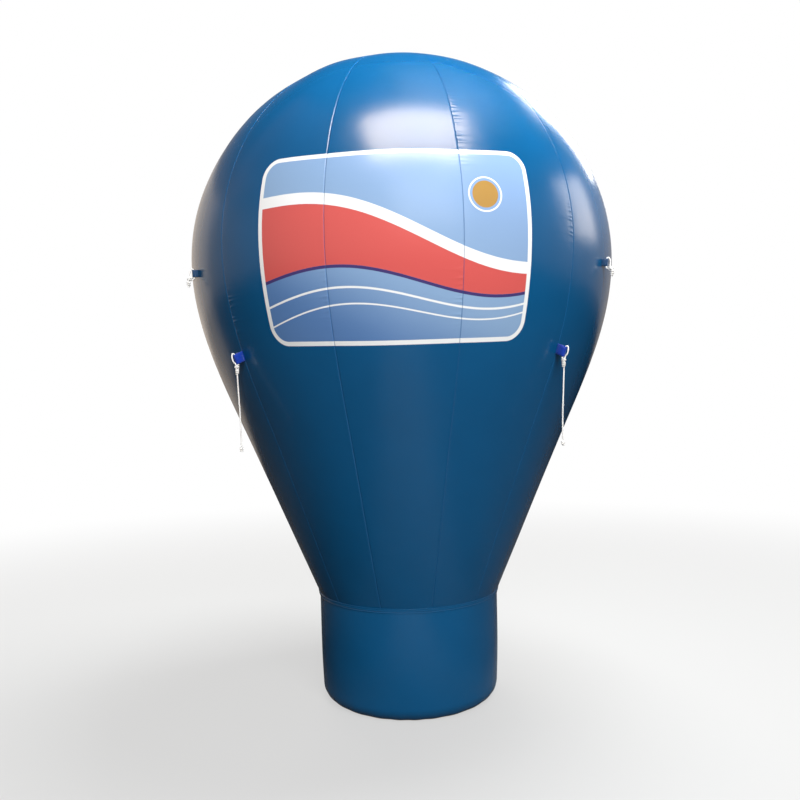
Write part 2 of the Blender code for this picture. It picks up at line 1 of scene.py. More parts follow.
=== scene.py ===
"""Dresses the packed bulb-shaped advertising balloon: cloth panels, ropes, fan, camera and stage.

Laid out as a Blender add-on and run as a script. Lengths are in metres and angles in degrees
unless a name says otherwise. An azimuth is counted from the front (-Y) towards +X.
"""

import math

import bmesh
import bpy
import numpy as np
from mathutils import Matrix, Vector


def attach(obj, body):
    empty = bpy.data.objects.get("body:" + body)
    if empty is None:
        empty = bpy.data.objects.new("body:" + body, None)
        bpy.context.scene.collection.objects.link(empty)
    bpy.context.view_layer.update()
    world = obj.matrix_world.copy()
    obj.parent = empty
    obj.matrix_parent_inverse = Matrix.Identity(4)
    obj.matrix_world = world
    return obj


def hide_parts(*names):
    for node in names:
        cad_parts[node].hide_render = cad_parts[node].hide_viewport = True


bl_info = {
    "name": "Bulb balloon dressing",
    "version": (1, 0, 0),
    "blender": (4, 5, 0),
    "location": "View3D > Sidebar > Balloon",
    "description": "Cloth, ropes, fan, camera and stage of a standing air-filled balloon",
    "category": "Object",
}

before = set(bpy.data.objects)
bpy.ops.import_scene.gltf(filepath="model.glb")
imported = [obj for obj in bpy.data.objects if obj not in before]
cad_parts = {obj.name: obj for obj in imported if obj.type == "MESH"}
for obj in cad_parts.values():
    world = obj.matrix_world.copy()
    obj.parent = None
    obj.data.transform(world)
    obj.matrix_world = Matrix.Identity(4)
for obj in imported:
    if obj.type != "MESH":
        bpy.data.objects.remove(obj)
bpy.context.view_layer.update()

# Outline of the bulb and the base, as in the CAD source
HEIGHT = 3.0
GIRTH_RADIUS = 0.987
GIRTH_Z = 2.05
NECK_RADIUS = 0.428
NECK_Z = 0.499
CONE_TOP_Z = 1.203
CONE_FLARE = 0.4253
CROWN_RADIUS = 0.09
LOWER_HANDLES = (0.291, 0.316)
UPPER_HANDLES = (0.450, 0.606)
CAD_LOWER_STEPS = 6
CAD_UPPER_STEPS = 8
FINE_STEPS = 160
GAP = 0.0003

GORE_COUNT = 12
GORE_SEAM_AZIMUTH = 13.14
BASE_RADIUS = 0.418
BASE_EDGE_RADIUS = 0.065

# Webbing lugs and the knots under them, as in the CAD source
STRAP_THICK = 0.0025
SEAM_LUG = {
    "reach": 0.042, "half_depth": 0.0145, "half_width": 0.0100, "height": 0.040,
    "knot_out": 0.004, "knot_down": 0.020,
}
GIRTH_LUG = {
    "reach": 0.030, "half_depth": 0.0120, "half_width": 0.0090, "height": 0.030,
    "knot_out": 0.018, "knot_down": 0.018,
}
SEAM_LUG_Z = 1.606
GIRTH_LUG_Z = 1.970
SEAM_LUG_AZIMUTHS = [GORE_SEAM_AZIMUTH + 30 + 90 * k for k in range(4)]
GIRTH_LUG_AZIMUTHS = [GORE_SEAM_AZIMUTH + 45 + 120 * k for k in range(3)]
ROPE_SEAT_GAP = 0.0006
KNOT_OVERLAP = 0.003
KNOT_TURN = 0.0042
HITCH_KNOT = (0.0085, 0.026)
END_KNOT = (0.0080, 0.022)
HITCH_BOW = (0.0030, 0.0085, 0.0095)
TAIL_POINTS = 18

# Fan in the back of the base, its axis along Y, as in the CAD source
FAN_Z = 0.235
DUCT_INNER_RADIUS = 0.131
DUCT_OUTER_RADIUS = 0.136
DUCT_INNER_Y = 0.285
FLANGE_Y = 0.434
FLANGE_RADIUS = 0.152
FLANGE_THICK = 0.006
GUARD_THICK = 0.004
GUARD_RIBS = 6
MOTOR_RADIUS = 0.055
MOTOR_Y = (0.300, 0.350)
ARM_COUNT = 4
HUB_RADIUS = 0.050
HUB_Y = (0.356, 0.402)
SHAFT_END_Y = 0.325
SHAFT_RADIUS = 0.006
BORE_RADIUS = 0.0066
BORE_END_Y = 0.322
BLADE_COUNT = 5
BLADE_TIP_RADIUS = 0.124
BLADE_CHORD = 0.062
BLADE_PITCHES = (44.0, 34.0, 26.0)

ZIP_AZIMUTH = 135.0
ZIP_Z = (0.110, 0.440)
ZIP_WIDTH = 0.032
GLAND_AZIMUTH = 215.0
GLAND_Z = 0.105

# The photograph's camera, found from the balloon's outline and seams
CAMERA_PLACE = (-0.0216, -3.7516, 1.431)
CAMERA_PITCH_DOWN = 0.324
CAMERA_ROLL = 1.245
SENSOR_MM = 36.0
BULB_AIM_Z = 2.0

# Where the thread has drawn a seam up most: height, spread, and the side that the folds lie on
SEEN_DRAWS = {
    1: [(2.45, 0.14, "right"), (1.80, 0.10, "left")],
    2: [(2.11, 0.07, "left")],
    12: [(1.80, 0.10, "left")],
}
PRINTED_GORES = (12, 1, 2)


def linear(code):
    """sRGB hex value as linear red, green and blue."""
    channels = [int(code[k:k + 2], 16) / 255 for k in (0, 2, 4)]
    return tuple(c / 12.92 if c <= 0.04045 else ((c + 0.055) / 1.055) ** 2.4 for c in channels)


def colour_property(label, text, code):
    return bpy.props.FloatVectorProperty(
        name=label, description=text, default=linear(code), size=3, min=0.0, max=1.0, subtype="COLOR"
    )


def length_property(label, text, value):
    return bpy.props.FloatProperty(name=label, description=text, default=value, min=0.0, unit="LENGTH")


class BalloonCloth(bpy.types.PropertyGroup):
    """Sizes of the sewn cloth and its colours."""

    lobe_share: bpy.props.FloatProperty(
        name="Lobe", description="Bulge of a panel between its seams, as a share of its width",
        default=0.008, min=0.0, max=0.05, subtype="FACTOR",
    )
    row_spacing: length_property("Row spacing", "Distance between mesh rows up a front panel", 0.003)
    pucker_spacing: length_property("Pucker spacing", "Mean distance between puckers along a seam", 0.019)
    pucker_reach: length_property("Pucker reach", "How far a pucker runs out from its seam", 0.030)
    pucker_height: length_property("Pucker height", "Height of the strongest puckers", 0.0026)
    seam_allowance: length_property("Seam allowance", "Cloth turned in behind a seam", 0.012)
    thread_spacing: length_property("Thread spacing", "Distance between threads of the weave", 0.0004)
    blue: colour_property("Cloth", "Dyed and coated balloon cloth", "094f7c")
    floor: colour_property("Floor cloth", "Heavy cloth under the base", "15171b")
    thread: colour_property("Thread", "Sewing thread in the seams", "1c588c")


class BalloonPrint(bpy.types.PropertyGroup):
    """The printed panel on the front: a sun over waves in a rounded white frame."""

    azimuth: bpy.props.FloatProperty(
        name="Azimuth", description="Middle of the print, counted from the front", default=-2.0,
    )
    middle_z: length_property("Height", "Height of the print's middle", 1.971)
    width: length_property("Width", "Width of the print, measured round the girth", 1.085)
    height: length_property("Height along the cloth", "Height of the print, measured up the cloth", 0.725)
    corner: length_property("Corner", "Radius of the frame's corners", 0.078)
    border: length_property("Border", "Width of the white frame line", 0.0175)
    ribbon: length_property("Ribbon", "Half the ribbon's width in the middle of the print", 0.085)
    sun: length_property("Sun", "Radius of the sun", 0.052)
    ground_low: colour_property("Ground, bottom", "Print ground at its lower left", "5579ab")
    ground_middle: colour_property("Ground, middle", "Print ground across the middle", "86a3c4")
    ground_high: colour_property("Ground, top", "Print ground at the top", "7f9cc2")
    white: colour_property("White", "White ink of the frame and the light bands", "e9e9e8")
    coral: colour_property("Ribbon", "Coral ink of the ribbon", "cb5753")
    line: colour_property("Line", "Dark ink under the ribbon", "43386b")
    gold: colour_property("Sun", "Golden ink of the sun", "a88245")


class BalloonRope(bpy.types.PropertyGroup):
    """Mooring ropes and the webbing lugs that they are hitched to."""

    diameter: length_property("Rope", "Diameter of the rope", 0.006)
    braid_pitch: length_property("Braid pitch", "Length of one turn of a strand", 0.015)
    tail_drop: length_property("Tail", "Drop of a hanging tail from its knot", 0.290)
    tail_sway: bpy.props.FloatProperty(
        name="Tail sway", description="Drift of a tail's end away from the bulb", default=-0.016,
        unit="LENGTH",
    )
    rope: colour_property("Rope", "Braided rope", "f4f2ee")
    webbing: colour_property("Seam webbing", "Woven strap of the lugs in the seams", "0a3cae")
    guy_webbing: colour_property("Girth webbing", "Woven strap of the lugs at the girth", "16436b")


class BalloonFan(bpy.types.PropertyGroup):
    """The fan, the zip and the cable gland in the base."""

    guard_wire: length_property("Guard bar", "Width of a bar of the finger guard", 0.004)
    blade_camber: length_property("Camber", "Rise of a blade's curved section", 0.004)
    plastic: colour_property("Plastic", "Moulded duct, guard and impeller", "1b1c1e")
    motor: colour_property("Motor", "Die-cast motor housing", "9a9c9e")
    zip: colour_property("Zip", "Zip tape and its teeth", "141518")
    steel: colour_property("Fasteners", "Plated screws and zip slider", "c3c4c6")


class BalloonStage(bpy.types.PropertyGroup):
    """Camera, floor and lights."""

    lens_mm: bpy.props.FloatProperty(name="Lens", description="Focal length", default=34.69, unit="CAMERA")
    floor: colour_property("Floor", "Plain pale studio floor", "5e5e5d")
    ground: colour_property("Ground", "Dark ground that the cloth mirrors", "383634")
    # Painted light: the path colour stands in for a lit patch of ground in front, which the cloth mirrors as a soft
    # upright highlight
    path: colour_property("Path", "Paler strip of ground in front, mirrored down the middle", "666664")
    room: colour_property("Room", "Dim walls that the cloth mirrors at its sides", "b8ada2")
    ceiling: colour_property("Ceiling", "Dark room above the lights", "1c1c1e")


def node(tree, kind, sockets=None, **settings):
    """Add a shader node. A socket takes a value, another node's socket, or a node's first output."""
    made = tree.nodes.new("ShaderNode" + kind)
    for key, value in settings.items():
        setattr(made, key, value)
    for key, value in (sockets or {}).items():
        if isinstance(value, bpy.types.Node):
            value = value.outputs[0]
        if isinstance(value, bpy.types.NodeSocket):
            tree.links.new(value, made.inputs[key])
        else:
            made.inputs[key].default_value = value
    return made


def new_material(name):
    """An empty node material and its tree."""
    material = bpy.data.materials.new(name)
    material.use_nodes = True
    material.node_tree.nodes.clear()
    return material, material.node_tree


def close_material(material, colour, roughness, normal, **constants):
    """Link the finished colour, roughness and normal to a shader and its output."""
    tree = material.node_tree
    sockets = {"Base Color": colour, "Roughness": roughness, "Normal": normal}
    sockets.update({key.replace("_", " "): value for key, value in constants.items()})
    shader = node(tree, "BsdfPrincipled", sockets)
    node(tree, "OutputMaterial", {"Surface": shader})
    return material


def print_colour(tree, cloth, style):
    """The printed front: signed distances in metres, negative inside, painted one over the other."""
    place = node(tree, "SeparateXYZ", {0: node(tree, "UVMap", uv_map="print")})
    u, v = place.outputs[0], place.outputs[1]

    # The frame's top and bottom lines lift a little towards the corners
    bow = node(tree, "Math", {0: node(tree, "Math", {0: u, 1: u}, operation="MULTIPLY"), 1: 0.055}, operation="MULTIPLY")
    v = node(tree, "Math", {0: v, 1: bow}, operation="SUBTRACT")

    sides = []
    for value, half in ((u, style.width / 2), (v, style.height / 2)):
        distance = node(tree, "Math", {0: value}, operation="ABSOLUTE")
        sides.append(node(tree, "Math", {0: distance, 1: half - style.corner}, operation="SUBTRACT"))
    beyond = [node(tree, "Math", {0: side, 1: 0.0}, operation="MAXIMUM") for side in sides]
    corner = node(tree, "VectorMath", {0: node(tree, "CombineXYZ", {0: beyond[0], 1: beyond[1]})}, operation="LENGTH")
    within = node(tree, "Math", {0: sides[0], 1: sides[1]}, operation="MAXIMUM")
    within = node(tree, "Math", {0: within, 1: 0.0}, operation="MINIMUM")
    outline = node(tree, "Math", {0: corner.outputs[1], 1: within}, operation="ADD")
    outline = node(tree, "Math", {0: outline, 1: style.corner}, operation="SUBTRACT")

    # Ground: light at the top and right, darker low on the left
    lean = node(tree, "Math", {0: u, 1: 0.55}, operation="MULTIPLY")
    rise = node(tree, "Math", {0: v, 1: 1.15, 2: 0.5}, operation="MULTIPLY_ADD")
    ground = node(tree, "ValToRGB", {0: node(tree, "Math", {0: rise, 1: lean}, operation="ADD")})
    ramp = ground.color_ramp
    ramp.interpolation = "EASE"
    ramp.elements[0].color = (*style.ground_low, 1)
    ramp.elements[1].color = (*style.ground_high, 1)
    ramp.elements.new(0.45).color = (*style.ground_middle, 1)

    # The ribbon's middle line is a slow wave that climbs to the left, and the ribbon widens that way
    wave = node(tree, "Math", {0: node(tree, "Math", {0: u, 1: -5.2, 2: 0.5}, operation="MULTIPLY_ADD")}, operation="SINE")
    climb = node(tree, "Math", {0: u, 1: -0.12, 2: -0.035}, operation="MULTIPLY_ADD")
    middle = node(tree, "Math", {0: wave, 1: 0.055, 2: climb}, operation="MULTIPLY_ADD")
    rel = node(tree, "Math", {0: v, 1: middle}, operation="SUBTRACT")
    half = node(tree, "Math", {0: u, 1: -0.10, 2: style.ribbon}, operation="MULTIPLY_ADD")
    bands = []
    for share, shift, width in ((1.0, 0.022, 0.022), (-1.0, -0.006, 0.006), (-1.5, -0.030, 0.004), (-1.9, -0.050, 0.003)):
        line = node(tree, "Math", {0: half, 1: share, 2: shift}, operation="MULTIPLY_ADD")
        away = node(tree, "Math", {0: node(tree, "Math", {0: rel, 1: line}, operation="SUBTRACT")}, operation="ABSOLUTE")
        bands.append(node(tree, "Math", {0: away, 1: width}, operation="SUBTRACT"))
    ribbon = node(tree, "Math", {0: node(tree, "Math", {0: rel}, operation="ABSOLUTE"), 1: half}, operation="SUBTRACT")

    centre = node(tree, "CombineXYZ", {0: u, 1: v})
    away = node(tree, "VectorMath", {0: centre, 1: (0.350, 0.185, 0.0)}, operation="DISTANCE").outputs[1]
    sun = node(tree, "Math", {0: away, 1: style.sun}, operation="SUBTRACT")
    ring = node(tree, "Math", {0: away, 1: style.sun + 0.013}, operation="SUBTRACT")
    ring = node(tree, "Math", {0: node(tree, "Math", {0: ring}, operation="ABSOLUTE"), 1: 0.003}, operation="SUBTRACT")
    frame_line = node(tree, "Math", {0: outline, 1: -1.0, 2: -style.border}, operation="MULTIPLY_ADD")

    painted = ground.outputs[0]
    layers = (
        (bands[0], style.white), (bands[1], style.line), (ribbon, style.coral), (bands[2], style.white),
        (bands[3], style.white), (ring, style.white), (sun, style.gold), (frame_line, style.white),
    )
    for distance, ink in layers:
        mask = node(tree, "MapRange", {0: distance, 1: -0.0008, 2: 0.0008, 3: 1.0, 4: 0.0})
        painted = node(tree, "Mix", {0: mask, 6: painted, 7: (*ink, 1)}, data_type="RGBA").outputs[2]
    mask = node(tree, "MapRange", {0: outline, 1: -0.0008, 2: 0.0008, 3: 1.0, 4: 0.0})
    return node(tree, "Mix", {0: mask, 6: cloth, 7: painted}, data_type="RGBA").outputs[2]


def coated_polyester(name, base, printed=None, roughness=(0.225, 0.248), seams=None):
    """Woven polyester taffeta with a polyurethane coating.

    The coating fills the weave, so the eye sees a satin film with broad soft highlights.
    """
    cloth = bpy.context.scene.balloon_cloth
    material, tree = new_material(name)
    cut = node(tree, "UVMap", uv_map="cut")
    # The real thread is far finer than a pixel, so the weave is drawn at four times its spacing
    period = 4 * cloth.thread_spacing
    weave = []
    for direction in ("X", "Y"):
        wave = node(tree, "TexWave", {"Vector": cut, "Scale": 2 * math.pi / (20 * period)}, bands_direction=direction)
        weave.append(wave.outputs[1])
    threads = node(tree, "Math", {0: weave[0], 1: weave[1]}, operation="MULTIPLY")
    mottle = node(tree, "TexNoise", {"Vector": cut, "Scale": 7.0, "Detail": 4.0})
    colour = node(tree, "Mix", {0: mottle.outputs[0], 6: (*(0.93 * c for c in base), 1), 7: (*(1.07 * c for c in base), 1)}, data_type="RGBA").outputs[2]
    if printed:
        colour = print_colour(tree, colour, printed)
    if seams:
        gap = node(tree, "SeparateXYZ", {0: node(tree, "UVMap", uv_map="edge")})
        stitch = node(tree, "MapRange", {0: gap, 1: 0.0012, 2: 0.0026, 3: 0.45, 4: 0.0})
        colour = node(tree, "Mix", {0: stitch, 6: colour, 7: (*seams, 1)}, data_type="RGBA").outputs[2]
    rough = node(tree, "MapRange", {0: mottle.outputs[0], 1: 0.3, 2: 0.7, 3: roughness[0], 4: roughness[1]})
    weave_bump = node(tree, "Bump", {"Strength": 0.3, "Distance": 0.00003, "Height": threads})
    # Shallow wrinkles, 20 to 60 mm across, that the air pressure doesn't pull out
    slack = node(tree, "TexNoise", {"Vector": cut, "Scale": 18.0, "Detail": 1.0, "Distortion": 0.3})
    bump = node(tree, "Bump", {"Strength": 0.2, "Distance": 0.0012, "Height": slack.outputs[0], "Normal": weave_bump})
    return close_material(material, colour, rough, bump, IOR=1.5)


def woven_webbing(name, base):
    """Woven polyester webbing: raised ribs across the strap that catch the light in rows, with painted shade darkening
    the grooves between them.
    """
    material, tree = new_material(name)
    cut = node(tree, "UVMap", uv_map="cut")
    # Rib spacing of 1.6 mm, as on a 40 mm strap
    ribs = node(tree, "TexWave", {"Vector": cut, "Scale": 2 * math.pi / (20 * 0.0016), "Distortion": 0.6}, bands_direction="X")
    rows = node(tree, "TexWave", {"Vector": cut, "Scale": 2 * math.pi / (20 * 0.0011)}, bands_direction="Y")
    height = node(tree, "Math", {0: ribs.outputs[1], 1: rows.outputs[1]}, operation="MULTIPLY")
    # Painted shade: the colour is darkened where the rib relief is low, in the grooves between the ribs
    shade = node(tree, "MapRange", {0: height, 1: 0.0, 2: 1.0, 3: 0.55, 4: 1.15})
    colour = node(tree, "Mix", {0: shade, 6: (*(0.45 * c for c in base), 1), 7: (*base, 1)}, data_type="RGBA").outputs[2]
    bump = node(tree, "Bump", {"Strength": 0.6, "Distance": 0.0004, "Height": height})
    return close_material(material, colour, 0.55, bump, IOR=1.5, Sheen_Weight=0.3, Sheen_Roughness=0.4)


def braided_rope(name, base):
    """Braided polyester rope: dull white yarns, with painted shade darkening the colour where the fibre relief is low,
    in the gaps between them.
    """
    material, tree = new_material(name)
    cut = node(tree, "UVMap", uv_map="cut")
    fibres = node(tree, "TexNoise", {"Vector": node(tree, "Mapping", {0: cut, 3: (0.25, 1.0, 1.0)}), "Scale": 2600.0, "Detail": 3.0})
    # Painted shade: the colour is darkened where the fibre relief is low, in the gaps between the fibres
    shade = node(tree, "MapRange", {0: fibres.outputs[0], 1: 0.25, 2: 0.75, 3: 0.0, 4: 1.0})
    colour = node(tree, "Mix", {0: shade, 6: (*(0.92 * c for c in base), 1), 7: (*base, 1)}, data_type="RGBA").outputs[2]
    bump = node(tree, "Bump", {"Strength": 0.2, "Distance": 0.0001, "Height": fibres.outputs[0]})
    return close_material(material, colour, 0.72, bump, IOR=1.5, Sheen_Weight=0.25, Sheen_Roughness=0.5)


def grained(name, base, roughness, grain_mm, metallic=0.0, depth=0.00004, **constants):
    """A moulded or cast surface with a fine even grain that breaks up its highlights."""
    material, tree = new_material(name)
    place = node(tree, "TexCoord").outputs["Object"]
    grain = node(tree, "TexNoise", {"Vector": place, "Scale": 1000.0 / grain_mm, "Detail": 2.0})
    wide = node(tree, "TexNoise", {"Vector": place, "Scale": 18.0, "Detail": 3.0})
    rough = node(tree, "MapRange", {0: wide.outputs[0], 1: 0.3, 2: 0.7, 3: roughness - 0.05, 4: roughness + 0.05})
    colour = node(tree, "Mix", {0: wide.outputs[0], 6: (*(0.88 * c for c in base), 1), 7: (*(min(1.1 * c, 1) for c in base), 1)}, data_type="RGBA").outputs[2]
    bump = node(tree, "Bump", {"Strength": 0.5, "Distance": depth, "Height": grain.outputs[0]})
    return close_material(material, colour, rough, bump, Metallic=metallic, **constants)


def kept_material(name, make, *values, **options):
    """The named material, made the first time that it is asked for."""
    return bpy.data.materials.get(name) or make(name, *values, **options)


def plain_cloth():
    cloth = bpy.context.scene.balloon_cloth
    return kept_material("polyester_taffeta_coated_blue", coated_polyester, tuple(cloth.blue), seams=tuple(cloth.thread))


def wall_cloth():
    cloth = bpy.context.scene.balloon_cloth
    return kept_material("polyester_taffeta_coated_base", coated_polyester, tuple(cloth.blue))


def printed_cloth():
    cloth = bpy.context.scene.balloon_cloth
    style = bpy.context.scene.balloon_print
    return kept_material(
        "polyester_taffeta_coated_printed", coated_polyester, tuple(cloth.blue), printed=style,
        seams=tuple(cloth.thread),
    )


def rope_look():
    """White braided rope, the same on tails, knots and hitches."""
    return kept_material("polyester_rope_braided", braided_rope, tuple(bpy.context.scene.balloon_rope.rope))


def webbing_look(guy):
    """Royal blue straps in the seams, and straps of the cloth's own blue at the girth."""
    rope = bpy.context.scene.balloon_rope
    if guy:
        return kept_material("polyester_webbing_navy", woven_webbing, tuple(rope.guy_webbing))
    return kept_material("polyester_webbing_royal", woven_webbing, tuple(rope.webbing))


def plastic_look():
    """Moulded polypropylene with a spark-eroded grain: dark with a soft low sheen."""
    return kept_material("polypropylene_moulded", grained, tuple(bpy.context.scene.balloon_fan.plastic), 0.42, 0.4, IOR=1.49)


def steel_look():
    """Zinc-plated steel: bright with a slightly milky mirror."""
    return kept_material("steel_zinc_plated", grained, tuple(bpy.context.scene.balloon_fan.steel), 0.3, 0.3, 1.0)


def motor_look():
    """Die-cast aluminium, as cast: grey metal with a sandy grain."""
    return kept_material("aluminium_die_cast", grained, tuple(bpy.context.scene.balloon_fan.motor), 0.5, 0.8, 1.0)


def thread_look():
    """Bonded polyester sewing thread: a twisted yarn with a weak sheen."""
    return kept_material("polyester_thread_bonded", grained, tuple(bpy.context.scene.balloon_cloth.thread), 0.6, 0.3, IOR=1.5)


def zip_look():
    """Nylon zip: a dull woven tape that carries a coil of moulded teeth."""
    return kept_material("nylon_zip_moulded", grained, tuple(bpy.context.scene.balloon_fan.zip), 0.55, 0.6, IOR=1.53)


def at(azimuth, radius, z):
    """Points at azimuths, radii and heights, as an array with x, y, z last."""
    a = np.radians(azimuth)
    x, y, z = np.broadcast_arrays(radius * np.sin(a), -radius * np.cos(a), z)
    return np.stack([x, y, z], axis=-1)


def cubic(p0, p1, p2, p3, steps):
    t = np.linspace(0, 1, steps + 1)[:, None]
    p0, p1, p2, p3 = (np.array(p) for p in (p0, p1, p2, p3))
    return (1 - t) ** 3 * p0 + 3 * (1 - t) ** 2 * t * p1 + 3 * (1 - t) * t * t * p2 + t ** 3 * p3


def bulb_outline(lower_steps, upper_steps):
    """Outline (radius, height) of the bulb from the neck up to the top."""
    cone_top = np.array((NECK_RADIUS + (CONE_TOP_Z - NECK_Z) * CONE_FLARE, CONE_TOP_Z))
    slope = np.array((CONE_FLARE, 1.0)) / math.hypot(CONE_FLARE, 1.0)
    girth = (GIRTH_RADIUS, GIRTH_Z)
    lower = cubic(
        cone_top, cone_top + slope * LOWER_HANDLES[0], (GIRTH_RADIUS, GIRTH_Z - LOWER_HANDLES[1]), girth,
        lower_steps,
    )
    upper = cubic(
        girth, (GIRTH_RADIUS, GIRTH_Z + UPPER_HANDLES[0]), (UPPER_HANDLES[1], HEIGHT), (0.0, HEIGHT), upper_steps
    )
    return np.vstack([(NECK_RADIUS, NECK_Z), lower, upper[1:]])


def base_outline(steps=12):
    """Outline of the base wall from the floor to the neck."""
    a = np.radians(np.linspace(0, 90, steps + 1))
    centre = BASE_RADIUS - BASE_EDGE_RADIUS
    edge = np.stack([centre + BASE_EDGE_RADIUS * np.sin(a), BASE_EDGE_RADIUS * (1 - np.cos(a))], axis=-1)
    return np.vstack([edge, (NECK_RADIUS, NECK_Z)])


def wall_radius(z):
    share = (z - BASE_EDGE_RADIUS) / (NECK_Z - BASE_EDGE_RADIUS)
    return BASE_RADIUS + (NECK_RADIUS - BASE_RADIUS) * share


def spaced(line, spacing):
    """The line cut into equal steps, and the distance along it of each point."""
    along = np.concatenate([[0], np.cumsum(np.linalg.norm(np.diff(line, axis=0), axis=1))])
    marks = np.linspace(0, along[-1], max(2, round(along[-1] / spacing) + 1))
    return np.stack([np.interp(marks, along, line[:, k]) for k in range(line.shape[1])], axis=-1), marks


def line_normals(line):
    """Outward unit normals (radius, height) of an outline that runs upwards."""
    run = np.gradient(line, axis=0)
    run /= np.linalg.norm(run, axis=1)[:, None]
    return np.stack([run[:, 1], -run[:, 0]], axis=-1)


def grid_mesh(name, points, layers, weld=False, smooth_angle=40.0):
    """Mesh of a grid of points (rows, columns, 3), with UV layers in metres."""
    rows, columns = points.shape[:2]
    index = np.arange(rows * columns).reshape(rows, columns)
    quads = np.stack([index[:-1, :-1], index[:-1, 1:], index[1:, 1:], index[1:, :-1]], axis=-1).reshape(-1, 4)
    mesh = bpy.data.meshes.new(name)
    mesh.from_pydata(points.reshape(-1, 3).tolist(), [], quads.tolist())
    for layer, values in layers.items():
        mesh.uv_layers.new(name=layer).data.foreach_set("uv", values.reshape(-1, 2)[quads.ravel()].ravel())
    if weld:
        work = bmesh.new()
        work.from_mesh(mesh)
        bmesh.ops.remove_doubles(work, verts=work.verts, dist=1e-6)
        bmesh.ops.dissolve_degenerate(work, edges=work.edges, dist=1e-7)
        bmesh.ops.recalc_face_normals(work, faces=work.faces)
        work.to_mesh(mesh)
        work.free()
    mesh.shade_smooth()
    mesh.set_sharp_from_angle(angle=math.radians(smooth_angle))
    return mesh


def turned_mesh(name, outline, segments=64, axis=None, gather=None):
    """An outline (radius, height) turned about Z or about a matrix's Z, with points at radius 0 welded."""
    outline = np.array(outline, float)
    angles = np.linspace(0, 360, segments + 1)
    run = np.concatenate([[0], np.cumsum(np.linalg.norm(np.diff(outline, axis=0), axis=1))])
    radii = np.repeat(outline[:, :1], segments + 1, axis=1)
    if gather is not None:
        radii = radii + gather(angles[None, :], outline[:, 1:])
    points = at(angles[None, :], radii, outline[:, 1:])
    if axis is not None:
        turn = np.array(axis)
        points = points @ turn[:3, :3].T + turn[:3, 3]
    cut = np.stack(np.broadcast_arrays(np.radians(angles)[None, :] * radii.max(), run[:, None]), axis=-1)
    return grid_mesh(name, points, {"cut": cut}, weld=True)


def smooth_path(spots, per_span, closed=False):
    """Points on a smooth curve through the spots."""
    spots = np.array(spots, float)
    count = len(spots)
    result = []
    for k in range(count if closed else count - 1):
        if closed:
            p0, p1, p2, p3 = (spots[(k + j) % count] for j in (-1, 0, 1, 2))
        else:
            p1, p2 = spots[k], spots[k + 1]
            p0 = spots[k - 1] if k else 2 * p1 - p2
            p3 = spots[k + 2] if k + 2 < count else 2 * p2 - p1
        for step in range(per_span):
            t = step / per_span
            result.append(0.5 * (2 * p1 + (p2 - p0) * t + (2 * p0 - 5 * p1 + 4 * p2 - p3) * t * t
                                 + (3 * p1 - p0 - 3 * p2 + p3) * t ** 3))
    result.append(result[0] if closed else spots[-1])
    return np.array(result)


def rope_mesh(name, path, radius, sides=14, relief=0.05, spacing=0.0012):
    """A braided rope along a path, with rounded ends: eight strands that cross each other."""
    pitch = bpy.context.scene.balloon_rope.braid_pitch
    path, along = spaced(path, spacing)
    run = np.gradient(path, axis=0)
    run /= np.linalg.norm(run, axis=1)[:, None]
    side = np.cross(run[0], (0.3, 0.5, 0.8))
    sides_out = []
    for direction in run:
        side = side - direction * (side @ direction)
        side = side / np.linalg.norm(side)
        sides_out.append(side)
    side = np.array(sides_out)
    lift = np.cross(run, side)
    a = np.linspace(0, 2 * math.pi, sides + 1)[None, :]
    s = along[:, None]
    turn = 2 * math.pi * s / pitch
    strands = np.sin(4 * a + 4 * turn) * np.sin(4 * a - 4 * turn)
    near_end = np.minimum(s, along[-1] - s) / radius
    close = np.sqrt(np.clip(1 - (1 - np.clip(near_end, 0, 1)) ** 2, 0.0004, 1))
    width = radius * (1 - relief / 2 + relief * strands) * close
    points = path[:, None, :] + width[..., None] * (
        np.cos(a)[..., None] * side[:, None, :] + np.sin(a)[..., None] * lift[:, None, :]
    )
    ends = [np.repeat(path[k][None, None, :], sides + 1, axis=1) for k in (0, -1)]
    points = np.vstack([ends[0], points, ends[1]])
    s = np.concatenate([[[0.0]], s, [[along[-1]]]])
    cut = np.stack(np.broadcast_arrays(s, a * radius), axis=-1)
    return grid_mesh(name, points, {"cut": cut}, weld=True, smooth_angle=80)


def joined(name, meshes):
    """One mesh from several, their UV layers kept."""
    work = bmesh.new()
    for mesh in meshes:
        work.from_mesh(mesh)
    result = bpy.data.meshes.new(name)
    work.to_mesh(result)
    work.free()
    for mesh in meshes:
        bpy.data.meshes.remove(mesh)
    return result


def stitch_mesh(name, places, runs, normals, length, thick):
    """Short sewing stitches: a flat lens of thread at each place, along its run."""
    rings = np.array([(-0.5, 0.0), (-0.38, 0.8), (0.0, 1.0), (0.38, 0.8), (0.5, 0.0)])
    a = np.linspace(0, 2 * math.pi, 7)
    meshes = []
    places, runs, normals = (np.array(v, float) for v in (places, runs, normals))
    across = np.cross(normals, runs)
    quads, verts = [], []
    for place, run, normal, side in zip(places, runs, normals, across):
        first = len(verts)
        for along, width in rings:
            for angle in a[:-1]:
                offset = run * along * length + width * thick / 2 * (side * np.cos(angle) + normal * np.sin(angle))
                verts.append(place + offset)
        for i in range(len(rings) - 1):
            for j in range(6):
                k = (j + 1) % 6
                quads.append((first + 6 * i + j, first + 6 * i + k, first + 6 * i + 6 + k, first + 6 * i + 6 + j))
    mesh = bpy.data.meshes.new(name)
    mesh.from_pydata([tuple(v) for v in verts], [], quads)
    work = bmesh.new()
    work.from_mesh(mesh)
    bmesh.ops.remove_doubles(work, verts=work.verts, dist=1e-7)
    bmesh.ops.recalc_face_normals(work, faces=work.faces)
    work.to_mesh(mesh)
    work.free()
    mesh.shade_smooth()
    return mesh


